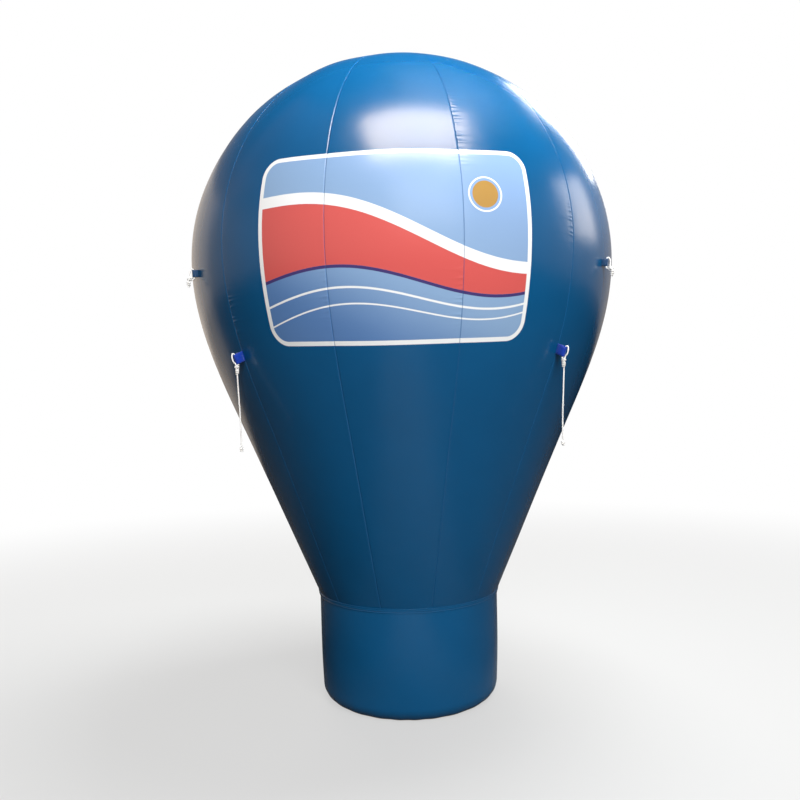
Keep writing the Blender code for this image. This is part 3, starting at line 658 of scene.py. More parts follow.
def place(name, mesh, material, slot, replaces=(), body="balloon"):
    """Link a mesh as a named piece that rides on a body."""
    piece = bpy.data.objects.new(name, mesh)
    mesh.materials.clear()
    mesh.materials.append(material)
    bpy.context.scene.collection.objects.link(piece)
    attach(piece, body)
    if replaces:
        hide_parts(*replaces)
    return piece


def surface_frame(azimuth, z):
    """Matrix on the CAD bulb: X out of the surface, Y round it, Z up the meridian."""
    line = bulb_outline(CAD_LOWER_STEPS, CAD_UPPER_STEPS)
    k = int(np.searchsorted(line[:, 1], z)) - 1
    (r0, z0), (r1, z1) = line[k], line[k + 1]
    radius = r0 + (r1 - r0) * (z - z0) / (z1 - z0)
    run = Vector((r1 - r0, z1 - z0)).normalized()
    a = math.radians(azimuth)
    radial = Vector((math.sin(a), -math.cos(a), 0))
    around = Vector((math.cos(a), math.sin(a), 0))
    up = radial * run.x + Vector((0, 0, run.y))
    matrix = Matrix((around.cross(up), around, up)).transposed().to_4x4()
    matrix.translation = radial * radius + Vector((0, 0, z))
    return matrix


def lug_sets():
    """Name, size and surface frame of every lug."""
    for k, azimuth in enumerate(SEAM_LUG_AZIMUTHS):
        yield f"mooring_{k + 1}", SEAM_LUG, azimuth, surface_frame(azimuth, SEAM_LUG_Z)
    for k, azimuth in enumerate(GIRTH_LUG_AZIMUTHS):
        yield f"guy_{k + 1}", GIRTH_LUG, azimuth, surface_frame(azimuth, GIRTH_LUG_Z)


def knot_top(size, matrix):
    """Top of the knot under a lug, in the world."""
    out, down = size["reach"] + size["knot_out"], -size["height"] / 2 - size["knot_down"]
    return np.array(matrix @ Vector((out, 0, down + KNOT_OVERLAP)))


def knot_coil(top, size, turns, rope_radius, start_angle):
    """A rope wound round itself under a point, from above down, as a path."""
    radius, length = size
    t = np.linspace(0, 1, 60)
    a = start_angle + 2 * math.pi * turns * t
    swell = (radius - rope_radius) * (1 - 0.10 * np.cos(2 * math.pi * 1.4 * t))
    swell = np.minimum(swell, radius - rope_radius) * np.clip(8 * t + 0.35, 0, 1) * np.clip(8 * (1 - t) + 0.35, 0, 1)
    drop = rope_radius + (length - 2 * rope_radius) * t
    return np.stack([top[0] + swell * np.cos(a), top[1] + swell * np.sin(a), top[2] - drop], axis=-1)


def tail_route(start, azimuth):
    """A free rope that drops from a knot and drifts a little towards the base."""
    rope = bpy.context.scene.balloon_rope
    a = math.radians(azimuth)
    radial = np.array((math.sin(a), -math.cos(a), 0))
    t = np.linspace(0, 1, TAIL_POINTS + 1)[:, None]
    sway = rope.tail_sway * (0.75 * t + 0.25 * np.sin(math.pi * t) * t)
    return start + radial * sway - np.array((0, 0, rope.tail_drop)) * t


class BALLOON_OT_camera(bpy.types.Operator):
    """Place the camera where the photograph was taken from."""

    bl_idname = "balloon.camera"
    bl_label = "Camera"

    def execute(self, context):
        data = bpy.data.cameras.new("view_camera")
        data.lens = context.scene.balloon_stage.lens_mm
        data.sensor_width = SENSOR_MM
        camera = bpy.data.objects.new("view_camera", data)
        context.scene.collection.objects.link(camera)
        pitch, roll = math.radians(CAMERA_PITCH_DOWN), math.radians(CAMERA_ROLL)
        ahead = Vector((0, math.cos(pitch), -math.sin(pitch)))
        level_up = Vector((0, math.sin(pitch), math.cos(pitch)))
        level_right = Vector((1, 0, 0))
        right = level_right * math.cos(roll) - level_up * math.sin(roll)
        up = level_right * math.sin(roll) + level_up * math.cos(roll)
        matrix = Matrix((right, up, -ahead)).transposed().to_4x4()
        matrix.translation = CAMERA_PLACE
        camera.matrix_world = matrix
        context.scene.camera = camera
        return {"FINISHED"}


class BALLOON_OT_tails(bpy.types.Operator):
    """Hang the four rope tails and tie the knot at the end of each."""

    bl_idname = "balloon.tails"
    bl_label = "Rope tails"

    def execute(self, context):
        radius = context.scene.balloon_rope.diameter / 2
        for name, size, azimuth, matrix in lug_sets():
            if not name.startswith("mooring"):
                continue
            start = knot_top(size, matrix) - np.array((0, 0, HITCH_KNOT[1] + GAP))
            route = tail_route(start, azimuth)
            tail = place(
                name + "_tail_rope", rope_mesh(name + "_tail_rope", route, radius), rope_look(), "rope",
                [name + "_tail"],
            )
            top = route[-1] - np.array((0, 0, GAP))
            coil = knot_coil(top, END_KNOT, 2.2, radius, math.radians(azimuth))
            core = np.array([top - (0, 0, radius), top - (0, 0, END_KNOT[1] - radius)])
            knot = joined(name + "_end_knot_rope", [
                rope_mesh("coil", coil, radius), rope_mesh("core", core, radius),
            ])
            end = place(name + "_end_knot_rope", knot, rope_look(), "rope", [name + "_end_knot"])
            tuple(route[0])
        return {"FINISHED"}


class BALLOON_OT_lugs(bpy.types.Operator):
    """Make the folded webbing lugs and the ropes hitched through them."""

    bl_idname = "balloon.lugs"
    bl_label = "Lugs and hitches"

    def strap(self, name, size, matrix):
        """A strap folded to a loop, both ends in the seam, its selvedges rounded."""
        thick = STRAP_THICK - 0.0005
        middle = size["reach"] - size["half_depth"]
        half = size["half_width"] - thick / 2
        spots = [
            (-0.004, 0.0016), (0.003, 0.0028), (0.35 * middle, 0.66 * half), (middle, half),
            (middle + 0.72 * size["half_depth"], 0.70 * half), (size["reach"] - thick / 2, 0.0),
        ]
        spots += [(x, -y) for x, y in reversed(spots[:-1])]
        loop = smooth_path(spots, 8)
        loop, along = spaced(loop, 0.0012)
        out = line_normals(loop)
        centre = np.array((middle, 0.0))
        facing = np.sign(np.sum(out * (loop - centre), axis=1))
        out = out * np.where(facing == 0, 1, facing)[:, None]
        half_strap = size["height"] / 2
        edge = 0.0007
        section = [
            (thick / 2, -half_strap + edge), (thick / 2 + 0.0001, -0.5 * half_strap), (thick / 2, 0.0),
            (thick / 2 + 0.0001, 0.5 * half_strap), (thick / 2, half_strap - edge),
            (thick / 5, half_strap), (-thick / 5, half_strap), (-thick / 2, half_strap - edge), (-thick / 2, 0.0),
            (-thick / 2, -half_strap + edge), (-thick / 5, -half_strap), (thick / 5, -half_strap),
            (thick / 2, -half_strap + edge),
        ]
        section = np.array(section)
        flat = loop[:, None, :] + out[:, None, :] * section[None, :, :1]
        local = np.concatenate([flat, np.repeat(section[None, :, 1:], len(loop), axis=0)], axis=-1)
        turn = np.array(matrix)
        points = local @ turn[:3, :3].T + turn[:3, 3]
        cut = np.stack(np.broadcast_arrays(along[:, None], section[None, :, 1]), axis=-1)
        return grid_mesh(name, points, {"cut": cut}, weld=True, smooth_angle=50)

    def tack(self, name, size, matrix):
        """The bar tack that closes the strap at its root, on both faces."""
        turn = np.array(matrix)
        places, runs, normals = [], [], []
        rows = np.arange(-size["height"] / 2 + 0.004, size["height"] / 2 - 0.0035, 0.0022)
        for side in (-1, 1):
            for x in (0.0062, 0.0098):
                for z in rows:
                    y = side * (0.0046 + 0.45 * (x - 0.0062) + 0.0012)
                    places.append(turn[:3, :3] @ (x, y, z) + turn[:3, 3])
                    runs.append(turn[:3, :3] @ (0, 0, 1))
                    normals.append(turn[:3, :3] @ (0, side, 0))
        return stitch_mesh(name, places, runs, normals, 0.0024, 0.0007)

    def execute(self, context):
        radius = context.scene.balloon_rope.diameter / 2
        for name, size, azimuth, matrix in lug_sets():
            strap = self.strap(name + "_strap", size, matrix)
            place(name + "_strap", strap, webbing_look(size is GIRTH_LUG), "webbing", [name + "_lug"])
            place(name + "_tack", self.tack(name + "_tack", size, matrix), thread_look(), "webbing")
            clear = radius + ROPE_SEAT_GAP
            reach, top = size["reach"], size["height"] / 2
            knot_x, knot_z = reach + size["knot_out"], -top - size["knot_down"]
            inner_x = reach - STRAP_THICK - clear
            leg_out = max((knot_x - reach) / 2, 0.004)
            spots = [
                (knot_x - 0.3 * KNOT_TURN, knot_z - 2 * radius),
                (knot_x - KNOT_TURN, knot_z),
                (inner_x, -top - 2 * radius),
                (inner_x, -top + radius),
                (inner_x, 0.0),
                (inner_x, top),
                (reach - STRAP_THICK, top + clear),
                (reach + HITCH_BOW[0], top + clear),
                (reach + HITCH_BOW[1], 0.6 * top),
                (reach + HITCH_BOW[2], -0.2 * top),
                (reach + leg_out, -top),
                (knot_x + KNOT_TURN, knot_z),
                (knot_x + 0.3 * KNOT_TURN, knot_z - 2 * radius),
            ]
            local = [(x, 0, z) for x, z in spots]
            turn = np.array(matrix)
            path = smooth_path(np.array(local) @ turn[:3, :3].T + turn[:3, 3], 8)
            high = knot_top(size, matrix)
            coil = knot_coil(high, HITCH_KNOT, 2.6, radius, math.radians(azimuth + 60))
            core = np.array([high - (0, 0, radius), high - (0, 0, HITCH_KNOT[1] + radius)])
            # A half hitch grips both legs of the loop right under the lug
            t = np.linspace(0, 1, 40)[:, None]
            grip_top = np.array((inner_x + 0.55 * (knot_x - inner_x), 0, -top - 0.0035))
            grip_foot = np.array((knot_x, 0, knot_z + 0.0045))
            turn_angle = 2 * math.pi * 1.7 * t + 0.9
            around = np.hstack([0.0082 * np.cos(turn_angle), 0.0062 * np.sin(turn_angle), 0 * t])
            grip = (grip_top + (grip_foot - grip_top) * t + around) @ turn[:3, :3].T + turn[:3, 3]
            hitch = joined(name + "_hitch_rope", [rope_mesh("strand", strand, radius) for strand in (path, grip, coil, core)])
            place(name + "_hitch_rope", hitch, rope_look(), "rope", [name + "_hitch"])
        return {"FINISHED"}


def seam_draws(seam):
    """Where a seam is drawn up most: height, spread, and the side that the folds lie on."""
    if seam in SEEN_DRAWS:
        return SEEN_DRAWS[seam]
    draw = np.random.default_rng(40 + seam)
    return [(z, 0.09, side) for z, side in zip(draw.uniform(1.3, 2.8, 2), ("left", "right"))]


def puckers(along, away, heights, seam, side):
    """Height of the small folds that the thread draws up on one side of a seam."""
    cloth = bpy.context.scene.balloon_cloth
    draw = np.random.default_rng(1000 * (side == "left") + seam)
    count = int(along[-1] / cloth.pucker_spacing)
    spots = (np.arange(count) + draw.uniform(-0.35, 0.35, count)) * cloth.pucker_spacing
    sizes = draw.uniform(0.35, 1.0, count)
    slants = draw.uniform(-0.25, 0.25, count)
    reaches = cloth.pucker_reach * draw.uniform(0.45, 1.1, count)
    strength = np.full(len(along), 0.12)
    for z, spread, fold_side in seam_draws(seam):
        if fold_side == side:
            strength += 0.88 * np.exp(-((heights - z) / spread) ** 4)
    total = np.zeros_like(away)
    for spot, size, slant, reach in zip(spots, sizes, slants, reaches):
        rows = np.abs(along - spot) < 0.03
        d = away[rows]
        offset = (along[rows][:, None] - spot - slant * d) / (0.19 * cloth.pucker_spacing)
        fade = (1 - np.exp(-d / 0.0025)) * np.exp(-(d / reach) ** 2)
        total[rows] += size * np.exp(-offset ** 2) * fade
    return total * strength[:, None] * cloth.pucker_height


def ripple(azimuth, along):
    """Slow waves of the cloth, a millimetre or so high, the same on both sides of every seam."""
    total = 0
    for turns, waves, shift, height in ((5, 1.9, 0.4, 0.0006), (9, 3.1, 2.1, 0.0005), (14, 2.3, 4.0, 0.0004), (7, 5.3, 1.2, 0.0003)):
        total = total + height * np.sin(np.radians(turns * azimuth) + 2 * math.pi * waves * along / 3 + shift)
    return total


class BALLOON_OT_gores(bpy.types.Operator):
    """Sew the twelve gores of the bulb, with their lobes, seams and puckers."""

    bl_idname = "balloon.gores"
    bl_label = "Gores"

    def execute(self, context):
        cloth = context.scene.balloon_cloth
        style = context.scene.balloon_print
        fine = bulb_outline(FINE_STEPS, FINE_STEPS)
        fine = fine[fine[:, 0] >= CROWN_RADIUS - 0.004]
        step = 360 / GORE_COUNT
        near = np.array([0, 0.001, 0.0022, 0.004, 0.0075, 0.012, 0.018, 0.026, 0.038])
        for gore in range(1, GORE_COUNT + 1):
            printed = gore in PRINTED_GORES
            # The printed gores face the camera and have the finer rows
            line, along = spaced(fine, cloth.row_spacing * (1 if printed else 2))
            out = line_normals(line)
            width = np.radians(step) * line[:, 0]
            left = near[None, :] * np.minimum(1.0, width / 0.2)[:, None]
            inner = left[:, -1:] + (width[:, None] - 2 * left[:, -1:]) * np.linspace(0, 1, 8)[None, 1:-1]
            across = np.hstack([left, inner, width[:, None] - left[:, ::-1]])
            middle_along = np.interp(style.middle_z, line[:, 1], along)
            start = GORE_SEAM_AZIMUTH + step * (gore - 2)
            azimuth = start + step * across / width[:, None]
            to_left, to_right = across, width[:, None] - across
            nearest = np.minimum(to_left, to_right)
            lobe = cloth.lobe_share * width[:, None]
            height = lobe * (np.sin(math.pi * across / width[:, None]) - 2 / math.pi)
            height -= 0.0013 * np.exp(-(nearest / 0.0016) ** 2)
            height += 0.0004 / (1 + np.exp((to_right - cloth.seam_allowance) / 0.0012))
            height += puckers(along, to_right, line[:, 1], gore, "left")
            height += puckers(along, to_left, line[:, 1], (gore - 2) % GORE_COUNT + 1, "right")
            height += ripple(azimuth, along[:, None])
            radius = line[:, :1] + out[:, :1] * height
            z = line[:, 1:] + out[:, 1:] * height
            slack = np.degrees(GAP / 2 / line[:, :1])
            azimuth = np.clip(azimuth, start + slack, start + step - slack)
            # The seam allowance is turned in behind each edge
            fold = cloth.seam_allowance
            hem_radius = line[:, :1] + out[:, :1] * (height[:, [0, -1]] - fold)
            hem_z = line[:, 1:] + out[:, 1:] * (height[:, [0, -1]] - fold)
            azimuth = np.hstack([azimuth[:, :1], azimuth, azimuth[:, -1:]])
            radius = np.hstack([hem_radius[:, :1], radius, hem_radius[:, 1:]])
            z = np.hstack([hem_z[:, :1], z, hem_z[:, 1:]])
            full_across = np.hstack([-np.full_like(along[:, None], fold), across, width[:, None] + fold])
            rows = np.repeat(along[:, None], full_across.shape[1], axis=1)
            edge = np.hstack([nearest[:, :1] * 0, nearest, nearest[:, :1] * 0])
            layers = {
                "cut": np.stack([full_across, rows], axis=-1),
                "edge": np.stack([edge, rows], axis=-1),
            }
            if printed:
                turn = (azimuth - style.azimuth + 180) % 360 - 180
                layers["print"] = np.stack([np.radians(turn) * GIRTH_RADIUS, rows - middle_along], axis=-1)
            name = f"gore_{gore:02d}_cloth"
            mesh = grid_mesh(name, at(azimuth, radius, z), layers, smooth_angle=60)
            look = printed_cloth() if printed else plain_cloth()
            panel = place(name, mesh, look, "envelope_fabric", [f"gore_{gore:02d}"])
            area = float(np.trapz(width + 2 * fold, along))
        return {"FINISHED"}


class BALLOON_OT_crown(bpy.types.Operator):
    """Sew the round patch over the point where the gores meet."""

    bl_idname = "balloon.crown"
    bl_label = "Crown patch"

    def execute(self, context):
        fine = bulb_outline(FINE_STEPS, FINE_STEPS)
        fine = fine[::-1]
        radii = np.array([0.0, 0.02, 0.04, 0.06, 0.072, 0.080, 0.086, 0.0885, 0.0895, 0.0900, 0.0888, 0.0870])
        lift = np.array([1.0, 1.0, 1.0, 1.0, 1.0, 1.15, 1.1, 0.9, 0.5, 0.0, -0.2, -0.3]) * 0.0011
        z = np.interp(radii, fine[:, 0], fine[:, 1]) + lift
        outline = np.stack([radii, z], axis=-1)[::-1]

        def gather(angles, heights):
            ring = np.exp(-((np.array(outline)[:, :1] - 0.086) / 0.006) ** 2)
            return 0.0006 * ring * np.sin(np.radians(angles) * 36) + 0 * heights

        mesh = turned_mesh("crown_patch_cloth", outline, 96, gather=gather)
        patch = place("crown_patch_cloth", mesh, wall_cloth(), "envelope_fabric", ["crown_patch"])
        places, runs, normals = [], [], []
        for ring in (0.083, 0.076):
            count = round(2 * math.pi * ring / 0.0046)
            z = float(np.interp(ring, fine[:, 0], fine[:, 1])) + 0.0014
            for k in range(count):
                a = 2 * math.pi * k / count
                places.append((ring * math.cos(a), ring * math.sin(a), z))
                runs.append((-math.sin(a), math.cos(a), 0))
                normals.append((0, 0, 1))
        stitches = stitch_mesh("crown_patch_stitches", places, runs, normals, 0.0034, 0.0009)
        place("crown_patch_stitches", stitches, thread_look(), "envelope_fabric")
        return {"FINISHED"}


class BALLOON_OT_base(bpy.types.Operator):
    """Sew the two base walls, the floor disc and the tape round the neck."""

    bl_idname = "balloon.base"
    bl_label = "Base"

    def wall(self, start, hole):
        """One half of the wall; the rear one has the round opening for the fan."""
        line, along = spaced(base_outline(), 0.0075)
        out = line_normals(line)
        columns = 150
        azimuth = start + np.linspace(0, 180, columns + 1)[None, :]
        t = (line[:, 1:] / NECK_Z)
        height = 0.0035 * np.sin(math.pi * np.clip(t, 0, 1)) - 0.0012
        height = height + 0.0007 * np.exp(-t / 0.16) * np.sin(np.radians(azimuth) * 26 + 1.3 * np.sin(np.radians(azimuth) * 5))
        height = height + 0.0009 * np.sin(np.radians(azimuth) * 4 + 5 * t) * np.sin(math.pi * t)
        height = height + 0.0006 * np.exp(-(1 - t) / 0.05) * np.sin(np.radians(azimuth) * 90)
        seam = np.minimum(azimuth - start, start + 180 - azimuth) * math.radians(1) * BASE_RADIUS
        height = height - 0.0012 * np.exp(-(seam / 0.003) ** 2)
        radius = line[:, :1] + out[:, :1] * height
        z = line[:, 1:] + out[:, 1:] * height
        points = at(azimuth, radius, np.broadcast_to(z, radius.shape))
        slide = np.radians(azimuth) * BASE_RADIUS + 0 * radius
        cut = np.stack([slide, np.repeat(along[:, None], columns + 1, axis=1)], axis=-1)
        name = "base_wall_rear_cloth" if hole else "base_wall_front_cloth"
        mesh = grid_mesh(name, points, {"cut": cut}, smooth_angle=60)
        if hole:
            work = bmesh.new()
            work.from_mesh(mesh)
            hole_radius = DUCT_OUTER_RADIUS + 0.004

            def from_axis(vert):
                return math.hypot(vert.co.x, vert.co.z - FAN_Z) if vert.co.y > 0 else 1.0

            gone = [f for f in work.faces if any(from_axis(v) < hole_radius for v in f.verts)]
            bmesh.ops.delete(work, geom=gone, context="FACES")
            for vert in work.verts:
                away = from_axis(vert)
                if vert.is_boundary and away < hole_radius + 0.016:
                    vert.co.x *= hole_radius / away
                    vert.co.z = FAN_Z + (vert.co.z - FAN_Z) * hole_radius / away
                    vert.co.y = math.sqrt(wall_radius(vert.co.z) ** 2 - vert.co.x ** 2) + 0.002
            work.to_mesh(mesh)
            work.free()
        return name, mesh

    def execute(self, context):
        for start, hole, cad_node in ((-90, False, "base_wall_front"), (90, True, "base_wall_rear")):
            name, mesh = self.wall(start, hole)
            wall = place(name, mesh, wall_cloth(), "envelope_fabric", [cad_node])

        disc_radius = BASE_RADIUS - BASE_EDGE_RADIUS - 0.001
        outline = [(0, 0.0), (disc_radius - 0.02, 0.0), (disc_radius, 0.0004), (disc_radius + 0.0005, 0.0014),
                   (disc_radius, 0.0024), (disc_radius - 0.02, 0.0026), (disc_radius - 0.022, 0.0012), (0, 0.0012)]
        look = kept_material(
            "polyester_pvc_coated_heavy", coated_polyester, tuple(context.scene.balloon_cloth.floor),
            roughness=(0.5, 0.6),
        )
        disc = place("base_floor_cloth", turned_mesh("base_floor_cloth", outline, 96), look, "floor_fabric", ["base_floor_disc"])

        half = 0.011
        low_r, high_r = wall_radius(NECK_Z - half), NECK_RADIUS + half * CONE_FLARE
        section = [
            (low_r + 0.0006, NECK_Z - half), (low_r + 0.0018, NECK_Z - half + 0.0004), (low_r + 0.0020, NECK_Z - half + 0.0016),
            (NECK_RADIUS + 0.0016, NECK_Z - 0.0042), (NECK_RADIUS + 0.0010, NECK_Z - 0.0034), (NECK_RADIUS + 0.0022, NECK_Z - 0.0026),
            (NECK_RADIUS + 0.0042, NECK_Z - 0.0020), (NECK_RADIUS + 0.0050, NECK_Z - 0.0004), (NECK_RADIUS + 0.0046, NECK_Z + 0.0016),
            (NECK_RADIUS + 0.0044, NECK_Z + 0.0040), (high_r + 0.0020, NECK_Z + half - 0.0016),
            (high_r + 0.0014, NECK_Z + half - 0.0004), (high_r, NECK_Z + half),
        ]
        tape = turned_mesh("neck_tape", section, 240)
        place("neck_tape", tape, wall_cloth(), "seam_tape", ["neck_seam_tape"])
        count = round(2 * math.pi * NECK_RADIUS / 0.0062)
        places, runs, normals = [], [], []
        for k in range(count):
            a = 2 * math.pi * (k + 0.5) / count
            for radius, z in ((low_r + 0.0018, NECK_Z - 0.0074), (high_r + 0.0006, NECK_Z + 0.0070)):
                places.append((radius * math.cos(a), radius * math.sin(a), z))
                runs.append((-math.sin(a), math.cos(a), 0))
                normals.append((math.cos(a), math.sin(a), 0))
        stitches = stitch_mesh("neck_tape_stitches", places, runs, normals, 0.0044, 0.0008)
        place("neck_tape_stitches", stitches, thread_look(), "seam_tape")
        return {"FINISHED"}


def fan_axis():
    """Matrix whose Z axis runs out of the back of the base, through the fan's centre."""
    return Matrix.Translation((0, 0, FAN_Z)) @ Matrix.Rotation(math.radians(-90), 4, "X")


class BALLOON_OT_fan(bpy.types.Operator):
    """Build the fan: collar, duct, guard, motor and impeller."""

    bl_idname = "balloon.fan"
    bl_label = "Fan"

    def blade(self, number):
        """A twisted cambered blade, thicker at its leading edge, with a rounded tip."""
        camber = bpy.context.scene.balloon_fan.blade_camber
        middle = (HUB_Y[0] + HUB_Y[1]) / 2
        shares = np.linspace(0, 1, 15)
        radii = HUB_RADIUS - 0.004 + (BLADE_TIP_RADIUS - HUB_RADIUS + 0.004) * shares
        pitches = np.radians(np.interp(shares, (0, 0.5, 1), BLADE_PITCHES))
        t = np.linspace(0, 2 * math.pi, 25)
        along = -0.5 * np.cos(t)
        thick = np.sin(t) * (0.6 + 0.4 * np.cos(t / 2) ** 2) * 0.0017
        rings = []
        for share, radius, pitch in zip(shares, radii, pitches):
            trim = 1 - 0.30 * max(0.0, (share - 0.72) / 0.28) ** 2
            chord = along * BLADE_CHORD * 0.96 * trim
            rise = camber * (1 - (2 * along) ** 2) + thick * (1 - 0.5 * share)
            y = chord * math.cos(pitch) - rise * math.sin(pitch)
            z = middle + chord * math.sin(pitch) + rise * math.cos(pitch)
            x = np.sqrt(np.maximum(radius ** 2 - y ** 2, 0))
            rings.append(np.stack([x, y, z], axis=-1))
        tip = np.repeat(rings[-1].mean(axis=0)[None, :], len(t), axis=0)
        root = np.repeat(rings[0].mean(axis=0)[None, :], len(t), axis=0)
        points = np.stack([root] + rings + [tip])
        turn = np.array(fan_axis() @ Matrix.Rotation(2 * math.pi * number / BLADE_COUNT, 4, "Z"))
        points = points @ turn[:3, :3].T + turn[:3, 3]
        cut = np.zeros(points.shape[:2] + (2,))
        return grid_mesh("blade", points, {"cut": cut}, weld=True, smooth_angle=50)

    def bar(self, axis, radii, angle, low, width, thick):
        """A radial bar with rounded edges."""
        half = width / 2
        section = np.array([
            (-half, 0.0), (-half, thick * 0.7), (-half * 0.6, thick), (half * 0.6, thick), (half, thick * 0.7), (half, 0.0),
            (-half, 0.0),
        ])
        inner, outer = radii
        stations = [inner, inner, outer, outer]
        points = np.array([[(r, y, low + z) for y, z in section] for r in stations])
        points[0] = points[0].mean(axis=0)
        points[-1] = points[-1].mean(axis=0)
        turn = np.array(axis @ Matrix.Rotation(angle, 4, "Z"))
        points = points @ turn[:3, :3].T + turn[:3, 3]
        return grid_mesh("bar", points, {"cut": np.zeros(points.shape[:2] + (2,))}, weld=True, smooth_angle=30)

    def ring(self, axis, radius, low, width, thick):
        half = width / 2
        section = [
            (radius - half, low), (radius - half, low + 0.7 * thick), (radius - 0.6 * half, low + thick),
            (radius + 0.6 * half, low + thick), (radius + half, low + 0.7 * thick), (radius + half, low), (radius - half, low),
        ]
        return turned_mesh("ring", section, 96, axis)

    def screws(self, axis, radius, seat):
        """Pan-head screws with a cross recess, through the guard's rim."""
        meshes = []
        head = [(0, 0.0030), (0.0009, 0.0030), (0.0012, 0.0042), (0.0034, 0.0036), (0.0052, 0.0016), (0.0054, 0.0), (0, 0.0)]
        for k in range(GUARD_RIBS):
            angle = 2 * math.pi * (k + 0.5) / GUARD_RIBS
            spot = axis @ Matrix.Rotation(angle, 4, "Z") @ Matrix.Translation((radius, 0, seat))
            meshes.append(turned_mesh("screw", head, 24, spot))
        return joined("fan_guard_screws", meshes)

    def execute(self, context):
        fan = context.scene.balloon_fan
        axis = fan_axis()

        def gather(angles, heights):
            return 0.0007 * np.sin(np.radians(angles) * 38 + 1.5 * np.sin(np.radians(angles) * 3)) + 0 * heights

        sleeve_r = DUCT_OUTER_RADIUS + 0.0045
        outline = [
            (sleeve_r - 0.003, 0.372), (sleeve_r, 0.372), (sleeve_r + 0.0012, 0.400), (sleeve_r + 0.0010, FLANGE_Y - 0.016),
            (sleeve_r + 0.0028, FLANGE_Y - 0.012), (sleeve_r + 0.0036, FLANGE_Y - 0.007), (sleeve_r + 0.0028, FLANGE_Y - 0.002),
            (sleeve_r, FLANGE_Y - GAP), (sleeve_r - 0.003, FLANGE_Y - GAP), (sleeve_r - 0.003, 0.372),
        ]
        collar = turned_mesh("inlet_collar_cloth", outline, 228, axis, gather)
        place("inlet_collar_cloth", collar, wall_cloth(), "envelope_fabric", ["inlet_collar"])

        rim = FLANGE_Y + FLANGE_THICK
        outline = [
            (DUCT_INNER_RADIUS, DUCT_INNER_Y), (DUCT_OUTER_RADIUS, DUCT_INNER_Y), (DUCT_OUTER_RADIUS, FLANGE_Y - 0.002),
            (DUCT_OUTER_RADIUS + 0.002, FLANGE_Y), (FLANGE_RADIUS - 0.001, FLANGE_Y), (FLANGE_RADIUS, FLANGE_Y + 0.001),
            (FLANGE_RADIUS, rim - 0.0015), (FLANGE_RADIUS - 0.0015, rim), (DUCT_INNER_RADIUS + 0.002, rim),
            (DUCT_INNER_RADIUS, rim - 0.002), (DUCT_INNER_RADIUS, DUCT_INNER_Y),
        ]
        place("fan_duct_moulded", turned_mesh("fan_duct_moulded", outline, 128, axis), plastic_look(), "black_plastic", ["fan_duct"])

        low = rim + GAP
        meshes = [self.ring(axis, radius, low, fan.guard_wire, GUARD_THICK) for radius in (0.046, 0.074, 0.102)]
        meshes.append(self.ring(axis, 0.136, low, 0.020, GUARD_THICK))
        for k in range(GUARD_RIBS):
            meshes.append(self.bar(axis, (0.012, 0.128), 2 * math.pi * k / GUARD_RIBS, low + 0.0004, fan.guard_wire, GUARD_THICK - 0.0006))
        dome = [(0, low), (0.0195, low), (0.020, low + 0.001), (0.0185, low + 0.003), (0.012, low + GUARD_THICK), (0, low + GUARD_THICK)]
        meshes.append(turned_mesh("dome", dome, 48, axis))
        place("fan_guard_moulded", joined("fan_guard_moulded", meshes), plastic_look(), "black_plastic", ["fan_guard"])
        place("fan_guard_screws", self.screws(axis, 0.136, low + GUARD_THICK), steel_look(), "motor_metal")

        fins = []
        for k in range(6):
            y = MOTOR_Y[0] + 0.006 + 0.0065 * k
            fins += [(MOTOR_RADIUS - 0.005, y), (MOTOR_RADIUS, y + 0.0006), (MOTOR_RADIUS, y + 0.0024), (MOTOR_RADIUS - 0.005, y + 0.003)]
        outline = [(0, MOTOR_Y[0]), (MOTOR_RADIUS - 0.009, MOTOR_Y[0]), (MOTOR_RADIUS - 0.005, MOTOR_Y[0] + 0.004)] + fins + [
            (MOTOR_RADIUS - 0.004, MOTOR_Y[1] - 0.003), (MOTOR_RADIUS - 0.007, MOTOR_Y[1]), (BORE_RADIUS, MOTOR_Y[1]),
            (BORE_RADIUS, BORE_END_Y), (0, BORE_END_Y),
        ]
        meshes = [turned_mesh("motor", outline, 64, axis)]
        for k in range(ARM_COUNT):
            meshes.append(self.bar(axis, (MOTOR_RADIUS - 0.006, DUCT_INNER_RADIUS), math.radians(45 + 360 * k / ARM_COUNT), MOTOR_Y[0] + 0.006, 0.014, 0.006))
        place("fan_motor_cast", joined("fan_motor_cast", meshes), motor_look(), "motor_metal", ["fan_motor"])

        hub = [
            (0, SHAFT_END_Y), (SHAFT_RADIUS, SHAFT_END_Y), (SHAFT_RADIUS, HUB_Y[0]), (HUB_RADIUS - 0.001, HUB_Y[0]),
            (HUB_RADIUS, HUB_Y[0] + 0.001), (HUB_RADIUS, HUB_Y[1] - 0.010), (HUB_RADIUS - 0.002, HUB_Y[1] - 0.0055),
            (HUB_RADIUS - 0.006, HUB_Y[1] - 0.002), (HUB_RADIUS - 0.012, HUB_Y[1]), (0.012, HUB_Y[1] + 0.0018),
            (0.0105, HUB_Y[1] - 0.002), (0.0, HUB_Y[1] - 0.002),
        ]
        meshes = [turned_mesh("hub", hub, 96, axis)] + [self.blade(k) for k in range(BLADE_COUNT)]
        place("fan_impeller_moulded", joined("fan_impeller_moulded", meshes), plastic_look(), "black_plastic", ["fan_impeller"], body="impeller")
        return {"FINISHED"}


